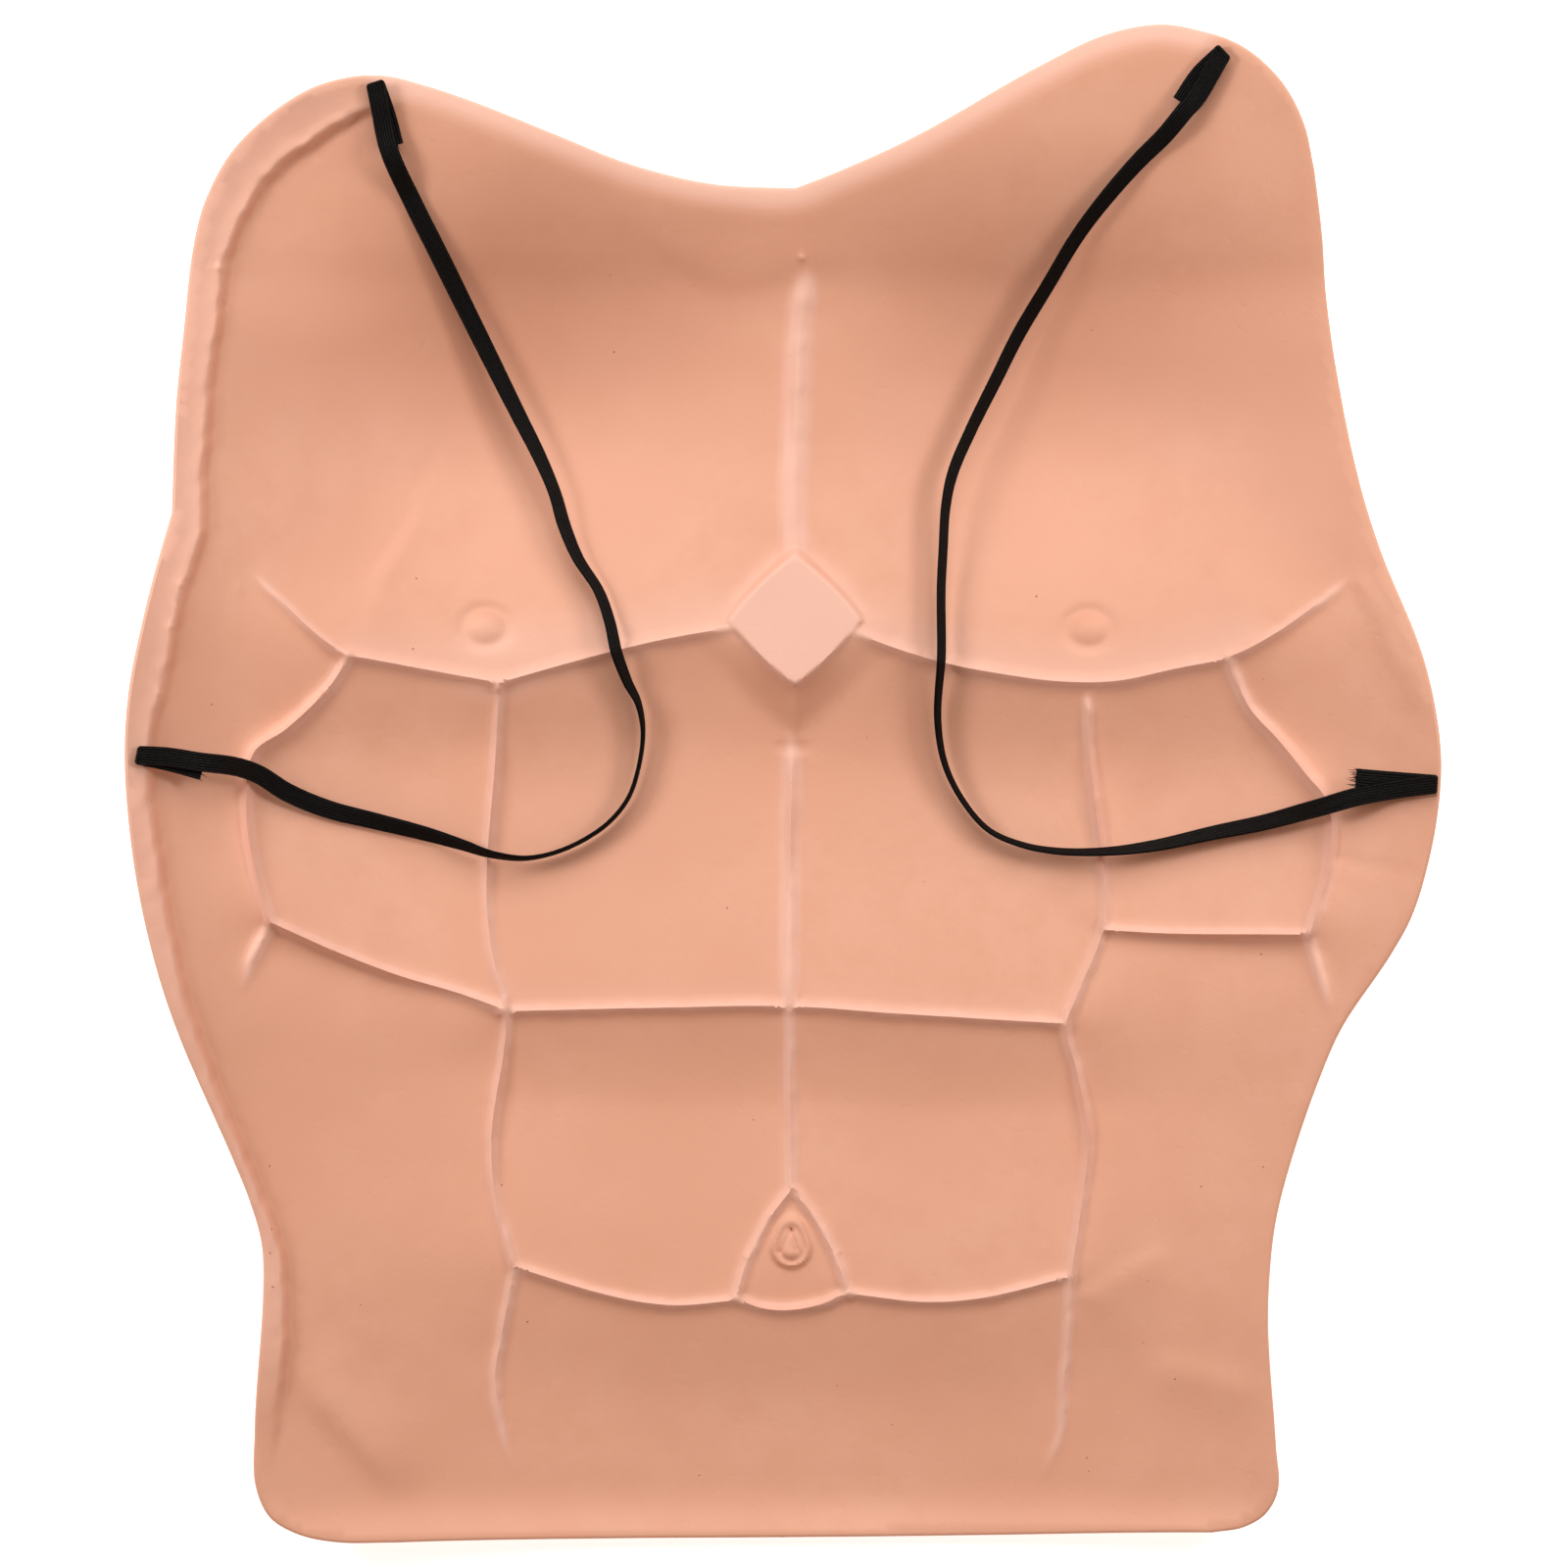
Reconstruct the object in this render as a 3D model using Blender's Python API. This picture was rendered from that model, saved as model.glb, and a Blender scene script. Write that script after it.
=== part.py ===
"""Costume muscle chest plate, lying on its front with its hollow inside facing up.

One thermoformed foam panel, two flat elastic straps and the four glue pads that hold the
strap ends. The panel is worked as a height field: a flat outline is filled with triangles
that follow the muscle creases, and its two skins are then lifted to their heights.

Lengths are in millimetres until finish() scales everything to metres.
+Z is up, +Y points to the neck and +X to the right of someone looking into the hollow.
"""
import math

import bmesh
import bpy
import numpy as np
from mathutils import Vector
from mathutils.geometry import delaunay_2d_cdt

MM = 0.001
ORIGIN = (0.0, -2.15, 0.0)    # the middle of the panel's box on the ground, moved to the origin

# ---------------------------------------------------------------- panel, driving sizes
FOAM = 4.0              # thickness of the foam sheet
FLANK_RISE = 51.0       # how far the flanks curl up at HALF_WIDTH from the middle line
HALF_WIDTH = 205.0
FLANK_POWER = 3.3       # how late that curl starts
SHOULDER_EASE = 0.3     # how much flatter it is across the shoulders
MIDDLE_X = 2.5          # the middle line of the torso
PEC_DEPTH = 14.5        # how far each pec dips below the breastbone
PEC_CENTRE = (90.0, 118.0)
PEC_RADII = (96.0, 90.0)
SHELVES = [             # the shoulders are flatter than the neck: centre, radii and drop
    ((-158.0, 202.0), (76.0, 64.0), 12.0),
    ((135.0, 215.0), (88.0, 88.0), 7.0),
]
STEP_HEIGHT = 2.6       # the trimmed border stands this much above the moulded inside
STEP_WIDTH = 2.4
STEP_BEAD = 0.9         # its lip
STEP_FOOT = 0.7         # and the groove at its foot
NECK_BAND = 10.0        # the neck edge levels out over this width
NECK_SLOPE = 0.5
PLATEAU_CENTRE = (3.5, 52.0)
PLATEAU_REACH = 20.7    # from its centre to a corner
PLATEAU_HEIGHT = 22.0
NIPPLES = ((-95.5, 50.0), (97.5, 49.4))
NIPPLE_RING = 8.4
NAVEL = (2.0, -149.5)
NAVEL_RING = 5.2

# ---------------------------------------------------------------- straps, driving sizes
STRAP_WIDTH = 6.0
STRAP_THICKNESS = 1.1
STATION = 6.0           # distance between the sections of a strap
TAIL_STATION = 2.0      # the same where it is glued down
LAYER_GAP = 0.35        # between a strap's two layers where it folds back
PAD_SIZE = (5.0, 0.5)   # width and thickness of a glue pad
LAYER_SPREAD = 0.03     # how fast the two layers part, away from the fold
PAD_TRIM = 3.0          # how much shorter a pad is than the tail on it, at each end
PAD_LIFT = 1.1          # of a pad's middle above the foam
TAIL_LIFT = PAD_LIFT + PAD_SIZE[1] / 2 + 0.3 + STRAP_THICKNESS / 2
BRIDGE_RADIUS = 70.0    # how gently a loose strap sags into a hollow
GLUED_RADIUS = 18.0     # the same where it is glued down
EASING = 5.0            # length over which its bends are eased
CLEARANCE = 1.2         # of a strap's underside above the foam
FOLD_TURNS = (-60, -20, 20, 60)

# ---------------------------------------------------------------- mesh density
FIELD_STEP = 13.0       # open surface
CREASE_STEP = 11.0      # along a crease
CREASE_ROWS = (-9.0, -2.4, 0.0, 2.4)
EDGE_STEP = 11.0
RING_SIDES = 8

# The height of the torso's middle line, from the bottom hem to the neck: (y, z).
SPINE = [(-243, 7.5), (-233, 3.8), (-216, 3.4), (-200, 4.2), (-172, 6.4), (-150, 7), (-115, 6.8),
         (-95, 7.2), (-72, 8.4), (-50, 8.2), (-20, 7.2), (8, 7.2), (30, 9.8), (52, 12.3), (80, 13),
         (110, 13.2), (136, 15), (158, 19.8), (172, 27), (186, 34.5), (200, 41), (214, 46),
         (228, 49.5), (245, 52)]

# The cut edge, anticlockwise, in runs that are each one smooth line.
NECK_LEFT = [(3.5, 189), (-23, 190.3), (-48, 196), (-74.5, 206), (-100, 215.7), (-114, 220.2),
             (-126.5, 222.9), (-145, 220), (-158.2, 213), (-173.3, 198.8), (-181.8, 182.8),
             (-185.6, 167.5), (-188.3, 142.5), (-190.7, 118), (-192, 84.5)]
LEFT_SIDE = [(-192, 84.5), (-196.3, 68.5), (-200.5, 51), (-204.7, 29.5), (-206.2, 10), (-204.8, -15),
             (-201.3, -39), (-195.5, -63.5), (-189.3, -82.5), (-174.7, -118.5), (-169.2, -133),
             (-165.8, -146), (-165.3, -160), (-168.4, -207), (-168.2, -223.5), (-163.8, -233.8),
             (-155, -239.5), (-143, -242.5), (-125, -243.3)]
BOTTOM = [(-125, -243.3), (-50, -243.2), (63, -242.2), (137, -240)]
RIGHT_SIDE = [(137, -240), (147, -238), (154, -233.5), (157.8, -226), (157.2, -212),
              (154.5, -172), (155, -156), (156.8, -140), (161.4, -121), (171.8, -89.5), (176.9, -77.5),
              (191.5, -54), (197.6, -42), (202.8, -24), (205.8, -5), (206.2, 9), (204.4, 23.5),
              (200.5, 40), (187.9, 73.5), (182.3, 92.5), (175, 129), (171.6, 153), (169.8, 173),
              (167, 192.5)]
NECK_RIGHT = [(167, 192.5), (163.3, 207.5), (156.5, 220), (144.8, 231), (130.5, 237),
              (118.5, 239), (101.5, 236), (82, 227), (41.5, 204.7), (16.5, 193.8), (3.5, 189)]

# The inner border of the trimmed edge on the left, from the neck down to the hem.
BORDER = [(-117.6, 214.2), (-132.8, 210.7), (-146.7, 203.5), (-159.9, 193.4), (-172.6, 173),
          (-178, 143), (-182, 98.5), (-182.3, 80.9), (-190.2, 51), (-194, 29.5), (-198.2, 13.8),
          (-193.4, -39), (-186.3, -73.4), (-174.4, -108.4), (-161.9, -140.5), (-158.4, -155.6),
          (-159.5, -190), (-163.3, -219.4)]


# How a crease's shoulder falls away on one side: the share of its height that drops steeply, the
# reach of that steep part, and the reach of the rest.
GENTLE = (0.0, 8, 50)
WIDE = (0.0, 8, 85)
UNDER = (0.15, 5.0, 42)
STEEP = (0.60, 2.2, 14)
BESIDE = (0.50, 2.4, 12)
NEAR = (0.55, 2.6, 9)


def crease(points, crest, width, height, left, right, fade=(0, 0)):
    """A raised line between two muscles: a rounded crest on a shoulder that falls away on the left
    and right of the line's direction. A fade of 0 is for an end that meets another crease."""
    return {"points": points, "line": smooth(points, 3.0), "crest": crest, "width": width,
            "height": height, "left": left, "right": right, "fade": fade}


def muscle_creases():
    """Every crease of the torso. Level ones run left to right: their left is above them."""
    return [
        # breastbone
        crease([(8, 167), (5, 144), (4, 119), (3, 94), (3.8, 70)], 2.0, 3.4, 1.2, WIDE, BESIDE, (14, 0)),
        # under the pecs
        crease([(-170, 68), (-167, 65.3), (-138.5, 40.8), (-132, 39.5), (-113, 36), (-91, 32)],
               1.5, 1.5, 7.5, WIDE, UNDER, (16, 0)),
        crease([(-91, 32), (-61, 40.5), (-38, 46), (-15, 50)], 1.5, 1.5, 8.0, WIDE, UNDER),
        crease([(20, 49), (36, 43), (53, 38), (69, 35), (88, 32.5), (105, 32.5), (125, 36.5),
                (141, 40), (154, 46.5), (168, 56.3), (180, 66)], 1.5, 1.6, 7.8, WIDE, UNDER, (0, 14)),
        # ribs, left
        crease([(-138, 40.5), (-144, 31), (-158, 17), (-167.5, 10), (-170, -2), (-168, -25),
                (-162.5, -44)], 1.9, 1.8, 3.6, NEAR, NEAR),
        crease([(-162.5, -44), (-167.5, -54), (-172, -67.5)], 1.8, 2.0, 2.2, NEAR, NEAR, (0, 18)),
        crease([(-162.5, -44), (-143, -53.3), (-123, -61.3), (-103.5, -67.3), (-89, -72.5)],
               1.8, 1.8, 4.6, GENTLE, NEAR),
        # ribs, right
        crease([(141, 40), (148, 24), (157, 13.7), (165.5, 2.8), (172, -6), (172.5, -26),
                (166.4, -48)], 1.7, 2.0, 3.2, NEAR, NEAR),
        crease([(166.4, -48), (169.5, -60), (174.2, -75.5)], 1.4, 2.0, 2.0, NEAR, NEAR, (0, 18)),
        crease([(102.5, -47), (122, -48), (165, -48)], 1.8, 1.8, 4.4, GENTLE, NEAR),
        # sides of the belly muscles, left and right, above and below the navel
        crease([(-91, 31), (-92.5, 8), (-95.3, -35), (-93.5, -54), (-89, -72), (-93.8, -115),
                (-92, -136), (-86.3, -155)], 1.9, 1.5, 3.0, STEEP, GENTLE),
        crease([(-86.3, -155), (-90, -174), (-92.8, -191), (-91, -207), (-86, -226)],
               1.7, 1.6, 2.4, STEEP, GENTLE, (0, 34)),
        crease([(97, 30), (98, 8), (102, -26), (102.5, -45), (93, -69.5), (90.3, -77), (94, -93),
                (97.5, -114), (95, -137), (92, -157)], 2.2, 1.5, 2.6, BESIDE, BESIDE, (7, 0)),
        crease([(92, -157), (90, -191), (88.8, -209), (81, -228)], 1.6, 1.7, 2.0, BESIDE, BESIDE, (0, 36)),
        # middle line of the belly
        crease([(2.6, 18), (1.6, -67)], 1.9, 2.3, 2.0, STEEP, NEAR, (12, 0)),
        crease([(1.6, -67), (2.3, -130)], 1.5, 1.9, 1.5, STEEP, NEAR),
        # level creases of the belly
        crease([(-89, -73), (-42, -72), (1.6, -71.5), (36, -73.8), (64, -75.5), (90, -77)],
               1.6, 1.5, 6.6, WIDE, UNDER),
        crease([(-86.3, -155), (-52, -165.3), (-35, -167.5), (-16, -166)], 1.6, 1.4, 5.4, WIDE, UNDER),
        crease([(21, -163.8), (47, -166.5), (64, -165), (92, -158)], 1.6, 1.4, 5.4, WIDE, UNDER),
        # the frame around the navel
        crease([(2.8, -130), (-5, -140.3), (-11.6, -152.8), (-15.5, -165)], 2.0, 1.5, 1.8, NEAR, NEAR),
        crease([(2.8, -130), (10.3, -140.3), (17.2, -153.8), (20.8, -163.5)], 2.0, 1.5, 1.8, NEAR, NEAR),
        crease([(-15.5, -165), (-8, -168.3), (1, -169.2), (11, -167.5), (20.8, -163.5)],
               2.0, 1.5, 4.0, NEAR, UNDER),
    ]


# Each strap's route over the hollow, from its shoulder fold to its side fold:
# (x, y, lift above what it rests on, lean in degrees from flat).
LEFT_ROUTE = [(-128.3, 219.3, 0, 0), (-127.3, 214, 0, 0), (-124.6, 200, 0, 0), (-117.4, 183.5, 0, 0),
              (-111.7, 172, 1, 2), (-100.2, 148.4, 3, 14), (-85.1, 117.8, 5, 34), (-78.8, 105.3, 5, 42),
              (-73.4, 92.6, 4, 50), (-70.6, 83, 3, 48), (-66, 72, 2, 54), (-59, 61, 1, 60),
              (-55.6, 51.4, 0.8, 60), (-53.5, 42, 0.8, 58), (-50.1, 32.6, 0, 66), (-46.4, 24.8, 0, 78),
              (-45.2, 16.5, 0, 83), (-46.8, 4.4, 0, 84), (-50.1, -5, 0, 84), (-56.4, -12.8, 0, 84),
              (-65.8, -19.1, 0, 84), (-75.1, -22.8, 0, 84), (-83, -24.1, 0, 82), (-92.2, -23.1, 0, 76),
              (-103, -19.7, 0, 62), (-115.4, -16, 0, 46), (-130.7, -12.1, 0, 34), (-145.9, -8.1, 0, 20),
              (-157.9, -2.8, 0, 10), (-166.3, 2.8, 0, 4), (-172.8, 5.2, 0, 0), (-183.1, 6.6, 0, 0),
              (-193.4, 8.2, 0, 0), (-201.3, 8.6, 0, 0)]
LEFT_SHOULDER_TAIL = [(-128.3, 219.3), (-125.3, 210.5), (-122.9, 201)]
LEFT_SIDE_TAIL = [(-201.3, 8.6), (-192.5, 6.6), (-182.6, 3.8)]
RIGHT_ROUTE = [(137.5, 229, 0, 0), (134.2, 223.2, 0, 0), (129.7, 215.5, 0, 6), (126.1, 211.4, 0, 12),
               (120.1, 204.3, 0, 16), (112.6, 197.1, 0, 20), (102.2, 185.5, 1, 24), (93.3, 173.9, 1, 28),
               (84.4, 159.2, 3, 32), (75.4, 144.2, 4, 36), (67.7, 128.8, 5, 41), (59.9, 113.1, 5, 47),
               (53.9, 98.8, 5, 52), (51.7, 87.7, 4, 57), (50.9, 75.1, 3, 60), (50.2, 62.4, 2, 63),
               (50.2, 41.4, 0.8, 68), (49.3, 19.4, 0, 75), (52, 5, 0, 79), (58.7, -7.5, 0, 80),
               (66, -15.3, 0, 80), (77, -20, 0, 78), (88.5, -21.9, 0, 74), (102.5, -21.9, 0, 68),
               (118.5, -20, 0, 54), (136.9, -15.9, 0, 40), (152, -12.7, 0, 30), (167, -8.4, 0, 14),
               (181.9, -4, 0, 0), (193.6, -1.8, 0, 0), (203.8, -0.4, 0, 0)]
RIGHT_SHOULDER_TAIL = [(137.5, 229), (130.6, 222.5), (125, 214.2)]
RIGHT_SIDE_TAIL = [(203.8, -0.4), (192, 0.6), (180.4, 1.6)]


# ---------------------------------------------------------------- lines and distances
def smooth(points, step):
    """A line through the points with rounded turns, and a vertex about every step."""
    points = np.asarray(points, float)
    wide = np.vstack([2 * points[0] - points[1], points, 2 * points[-1] - points[-2]])
    line = []
    for before, here, there, after in zip(wide, wide[1:], wide[2:], wide[3:]):
        gap = np.linalg.norm(there - here)
        unit = (there - here) / gap
        leave = 0.5 * gap * ((here - before) / np.linalg.norm(here - before) + unit)
        arrive = 0.5 * gap * (unit + (after - there) / np.linalg.norm(after - there))
        for t in np.linspace(0, 1, max(2, math.ceil(gap / step) + 1))[:-1]:
            line.append((2 * t**3 - 3 * t**2 + 1) * here + (t**3 - 2 * t**2 + t) * leave
                        + (3 * t**2 - 2 * t**3) * there + (t**3 - t**2) * arrive)
    line.append(points[-1])
    return np.array(line)


def distances(line):
    """How far along the line each of its vertices is."""
    return np.concatenate([[0], np.cumsum(np.linalg.norm(np.diff(line, axis=0), axis=1))])


def nearest(line, x, y):
    """Each point's distance from the line, how squarely it lies to the left (+1) or right (-1) of
    it, how far along it lies, and the line's length."""
    best = np.full(x.shape, 1e9)
    side = np.zeros(x.shape)
    along = np.zeros(x.shape)
    run = 0.0
    for (ax, ay), (bx, by) in zip(line[:-1], line[1:]):
        dx, dy = bx - ax, by - ay
        length = math.hypot(dx, dy)
        t = np.clip(((x - ax) * dx + (y - ay) * dy) / length**2, 0, 1)
        away = np.hypot(x - ax - t * dx, y - ay - t * dy)
        closer = away < best
        square = (dx * (y - ay) - dy * (x - ax)) / (length * np.maximum(away, 1e-6))
        best = np.where(closer, away, best)
        side = np.where(closer, np.clip(square, -1, 1), side)
        along = np.where(closer, run + t * length, along)
        run += length
    return best, side, along, run


def faded(along, length, fade):
    """1 along a line, falling to 0 over the fade lengths at its start and end."""
    start, end = [ramp(away / reach) if reach else 1.0
                  for away, reach in ((along, fade[0]), (length - along, fade[1]))]
    return start * end


def ramp(t):
    """0 to 1 with soft ends."""
    t = np.clip(t, 0, 1)
    return t * t * (3 - 2 * t)


def dome(x, y, centre, radii):
    """1 at the centre of an ellipse, 0 outside it."""
    r = np.hypot((x - centre[0]) / radii[0], (y - centre[1]) / radii[1])
    return np.cos(0.5 * math.pi * np.clip(r, 0, 1)) ** 2


# ---------------------------------------------------------------- the panel's surfaces
CREASES = muscle_creases()
SPINE_LINE = smooth(SPINE, 3.0)
BORDER_LINE = smooth(BORDER, 4.0)
NECK_LINE = smooth(NECK_RIGHT[4:] + NECK_LEFT[1:7], 4.0)


def body_shape(x, y):
    """The large form: curled flanks, rising chest and the two pec hollows."""
    z = np.interp(y, SPINE_LINE[:, 0], SPINE_LINE[:, 1])
    rise = FLANK_RISE * (1 - SHOULDER_EASE * ramp((y - 120) / 90))
    z = z + rise * (np.abs(x - MIDDLE_X) / HALF_WIDTH) ** FLANK_POWER
    for side in (-1, 1):
        centre = (MIDDLE_X + side * PEC_CENTRE[0], PEC_CENTRE[1])
        z = z - PEC_DEPTH * dome(x, y, centre, PEC_RADII)
    for centre, radii, drop in SHELVES:
        z = z - drop * dome(x, y, centre, radii)
    return z


def fall(away, slope):
    """1 on a crease, falling to 0 at its reach: a steep part and a gentle one."""
    share, near, far = slope
    steep = 1 - np.sin(0.5 * math.pi * np.clip(away / near, 0, 1))
    rest = 1 - np.sin(0.5 * math.pi * np.clip(away / far, 0, 1))
    return share * steep + (1 - share) * rest


def crease_shape(x, y):
    """The creases as two heights: their broad shoulders, and their narrow crests."""
    broad = np.zeros(x.shape)
    sharp = np.zeros(x.shape)
    for item in CREASES:
        away, side, along, length = nearest(item["line"], x, y)
        fade = faded(along, length, item["fade"])
        left = 0.5 + 0.5 * side
        slope = left * fall(away, item["left"]) + (1 - left) * fall(away, item["right"])
        taper = faded(along, length, [3 * reach for reach in item["fade"]])
        broad = broad + (item["height"] * slope * taper) ** 4
        sharp = np.maximum(sharp, item["crest"] * np.exp(-(away / item["width"]) ** 2) * fade)
    return broad ** 0.25, sharp


def plateau(x, y, z):
    """The flat diamond where the pecs meet the belly, with a skirt that slopes down below it."""
    dx, dy = x - PLATEAU_CENTRE[0], y - PLATEAU_CENTRE[1]
    corner = (np.abs(dx) ** 1.15 + np.abs(dy) ** 1.15) ** (1 / 1.15) / PLATEAU_REACH
    rise = np.maximum(PLATEAU_HEIGHT - z, 0)
    skirt = 0.72 * np.clip((1.75 - corner) / 0.75, 0, 1) ** 1.4 * ramp(0.5 - dy / 16)
    return z + rise * np.maximum(ramp((1.16 - corner) / 0.2), skirt)


def edge_shape(x, y):
    """The raised border down the left side and the roll along the neck."""
    away, side, along, length = nearest(BORDER_LINE, x, y)
    outwards = -away * side
    fade = ramp(along / 25) * ramp((length - along) / 40)
    step = STEP_HEIGHT * ramp(0.5 + outwards / STEP_WIDTH)
    bead = STEP_BEAD * np.exp(-((outwards - 1.6) / 1.3) ** 2)
    foot = STEP_FOOT * np.exp(-((outwards + 1.9) / 1.3) ** 2)
    z = (step + bead - foot) * fade
    away = nearest(NECK_LINE, x, y)[0]
    return z - NECK_SLOPE * np.clip(NECK_BAND - away, 0, None) ** 2 / (2 * NECK_BAND)


def small_shape(x, y):
    """Nipple rings and the navel's ring."""
    z = np.zeros(x.shape)
    for cx, cy in NIPPLES:
        r = np.hypot(x - cx, y - cy)
        z = z - 1.3 * np.exp(-((r - NIPPLE_RING * 0.72) / 1.9) ** 2) + 0.4 * np.exp(-(r / 2.6) ** 2)
    r = np.hypot(x - NAVEL[0], y - NAVEL[1])
    return z + 1.6 * np.exp(-((r - NAVEL_RING) / 1.5) ** 2)


def inside(x, y):
    """Height of the panel's inner, upper skin."""
    broad, sharp = crease_shape(x, y)
    return plateau(x, y, body_shape(x, y) + broad + sharp + edge_shape(x, y) + small_shape(x, y))


def outside(x, y):
    """Height of the panel's outer, lower skin: the same form one foam thickness down, with the
    creases as wide grooves. It is pressed flat where it rests on the ground."""
    step = 1.0
    broad, sharp = crease_shape(x, y)
    slope_x = (body_shape(x + step, y) - body_shape(x - step, y)) / (2 * step)
    slope_y = (body_shape(x, y + step) - body_shape(x, y - step)) / (2 * step)
    form = plateau(x, y, body_shape(x, y) + broad + 0.6 * sharp + 0.5 * edge_shape(x, y))
    return np.maximum(form - FOAM * np.sqrt(1 + slope_x**2 + slope_y**2), 0.0)


# ---------------------------------------------------------------- the panel's mesh
def outline():
    """The cut edge as one closed ring of vertices."""
    runs = [smooth(run, EDGE_STEP) for run in (NECK_LEFT, LEFT_SIDE, BOTTOM, RIGHT_SIDE, NECK_RIGHT)]
    return np.vstack([run[:-1] for run in runs])


def rows_along(points, offsets, step):
    """Vertices in parallel rows along a line."""
    line = smooth(points, step)
    heading = np.gradient(line, axis=0)
    heading /= np.linalg.norm(heading, axis=1)[:, None]
    left = np.stack([-heading[:, 1], heading[:, 0]], axis=1)
    return np.vstack([line + offset * left for offset in offsets])


def rings(centre, radii):
    """Vertices in rings round a centre, with one in the middle."""
    turns = np.arange(RING_SIDES) * 2 * math.pi / RING_SIDES
    circle = np.stack([np.cos(turns), np.sin(turns)], axis=1)
    return np.vstack([[centre]] + [np.array(centre) + radius * circle for radius in radii])


def diamond(reach, count):
    """Vertices round the plateau at a given reach."""
    corners = [(0, 1), (-1, 0), (0, -1), (1, 0), (0, 1)]
    line = []
    for (ax, ay), (bx, by) in zip(corners, corners[1:]):
        for t in np.arange(count) / count:
            line.append((ax + t * (bx - ax), ay + t * (by - ay)))
    return np.array(PLATEAU_CENTRE) + reach * np.array(line)


def spaced(groups, start):
    """Add each group's points that are further than its gap from every point already there."""
    kept = np.array(start)
    for points, gap in groups:
        for point in points:
            if np.min(np.hypot(*(kept - point).T)) > gap:
                kept = np.vstack([kept, point])
    return kept


def panel_points(edge):
    """All vertices of the flat panel: its edge, its creases, its details and the open field."""
    details = [rings(centre, (3.2, NIPPLE_RING)) for centre in NIPPLES]
    details += [rings(NAVEL, (2.4, NAVEL_RING)), diamond(0.98 * PLATEAU_REACH, 3),
                diamond(1.22 * PLATEAU_REACH, 3), [PLATEAU_CENTRE]]
    details += [rows_along(BORDER, (-STEP_WIDTH / 2, STEP_WIDTH / 2), EDGE_STEP)]
    details += [rows_along(item["points"], CREASE_ROWS, CREASE_STEP) for item in CREASES]
    field = []
    row_height = FIELD_STEP * math.sqrt(3) / 2
    for row in range(-20, 21):
        for column in range(-18, 19):
            field.append((FIELD_STEP * (column + 0.5 * (row % 2)), row_height * row + 2.0))
    groups = [(np.vstack(details), 1.9), (np.array(field), 0.55 * FIELD_STEP)]
    return spaced(groups, edge)


def make_panel(material):
    """Triangles between the vertices, extruded into two skins, each lifted to its height."""
    edge = outline()
    points = panel_points(edge)
    ring = [(index, (index + 1) % len(edge)) for index in range(len(edge))]
    flat = delaunay_2d_cdt([Vector(point) for point in points], ring, [], 1, 1e-5)
    shape = bmesh.new()
    corners = [shape.verts.new((point[0], point[1], 0)) for point in flat[0]]
    for triangle in flat[2]:
        shape.faces.new([corners[index] for index in triangle])
    for loose in [vertex for vertex in shape.verts if not vertex.link_faces]:
        shape.verts.remove(loose)
    lower = list(shape.verts)
    grown = bmesh.ops.extrude_face_region(shape, geom=list(shape.faces), use_keep_orig=True)
    upper = [item for item in grown["geom"] if isinstance(item, bmesh.types.BMVert)]
    for skin, height in ((lower, outside), (upper, inside)):
        x = np.array([vertex.co.x for vertex in skin])
        y = np.array([vertex.co.y for vertex in skin])
        for vertex, z in zip(skin, height(x, y)):
            vertex.co.z = z
    bmesh.ops.recalc_face_normals(shape, faces=shape.faces)
    return finish(shape, "foam_panel", material, smooth_angle=40)


# ---------------------------------------------------------------- ribbons: straps and pads
def unit(vectors):
    """The same directions, one long each."""
    return vectors / np.linalg.norm(vectors, axis=-1, keepdims=True)


def resample(path, step):
    """The path at even steps. Its columns are x, y, z and the lean that goes with them."""
    run = distances(path[:, :3])
    marks = np.linspace(0, run[-1], max(3, round(run[-1] / step) + 1))
    return np.stack([np.interp(marks, run, column) for column in path.T], axis=1)


def ground_under(line, radius):
    """The highest foam under a strap, which bends into hollows no tighter than the radius."""
    heading = unit(np.gradient(line, axis=0))
    sideways = np.stack([heading[:, 1], -heading[:, 0]], axis=1)
    offsets = (-STRAP_WIDTH / 2, 0, STRAP_WIDTH / 2)
    ground = np.max([inside(*(line + offset * sideways).T) for offset in offsets], axis=0)
    run = distances(line)
    gaps = run[:, None] - run[None, :]
    bend = gaps**2 / (2 * radius)
    bridged = np.max(ground[None, :] - bend, axis=1)
    bridged = np.min(bridged[None, :] + bend, axis=1)
    weight = np.exp(-(gaps / EASING) ** 2)
    eased = weight @ bridged / weight.sum(axis=1)
    return np.maximum(eased, bridged - 0.4)


def tail_path(points, lift=TAIL_LIFT):
    """The middle line of what is glued down, from the fold to the cut end."""
    line = smooth(points, 1.0)
    return np.column_stack([line, ground_under(line, GLUED_RADIUS) + lift, np.zeros(len(line))])


def run_path(route, start_tail, end_tail):
    """The middle line of a strap's free run, over both its tails and resting on the foam."""
    line = smooth(route, 1.0)
    run = distances(line[:, :2])
    z = ground_under(line[:, :2], BRIDGE_RADIUS) + CLEARANCE + STRAP_THICKNESS / 2 + line[:, 2]
    z += STRAP_WIDTH / 2 * np.sin(np.radians(line[:, 3]))
    for tail, from_fold in ((start_tail, run), (end_tail, run[-1] - run)):
        length = distances(tail[:, :2])
        over = np.interp(from_fold, length, tail[:, 2]) + STRAP_THICKNESS + LAYER_GAP
        over += LAYER_SPREAD * from_fold
        z += np.maximum(over - z, 0) * ramp(1.9 - from_fold / length[-1])
    return np.column_stack([line[:, :2], z, line[:, 3]])


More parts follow.
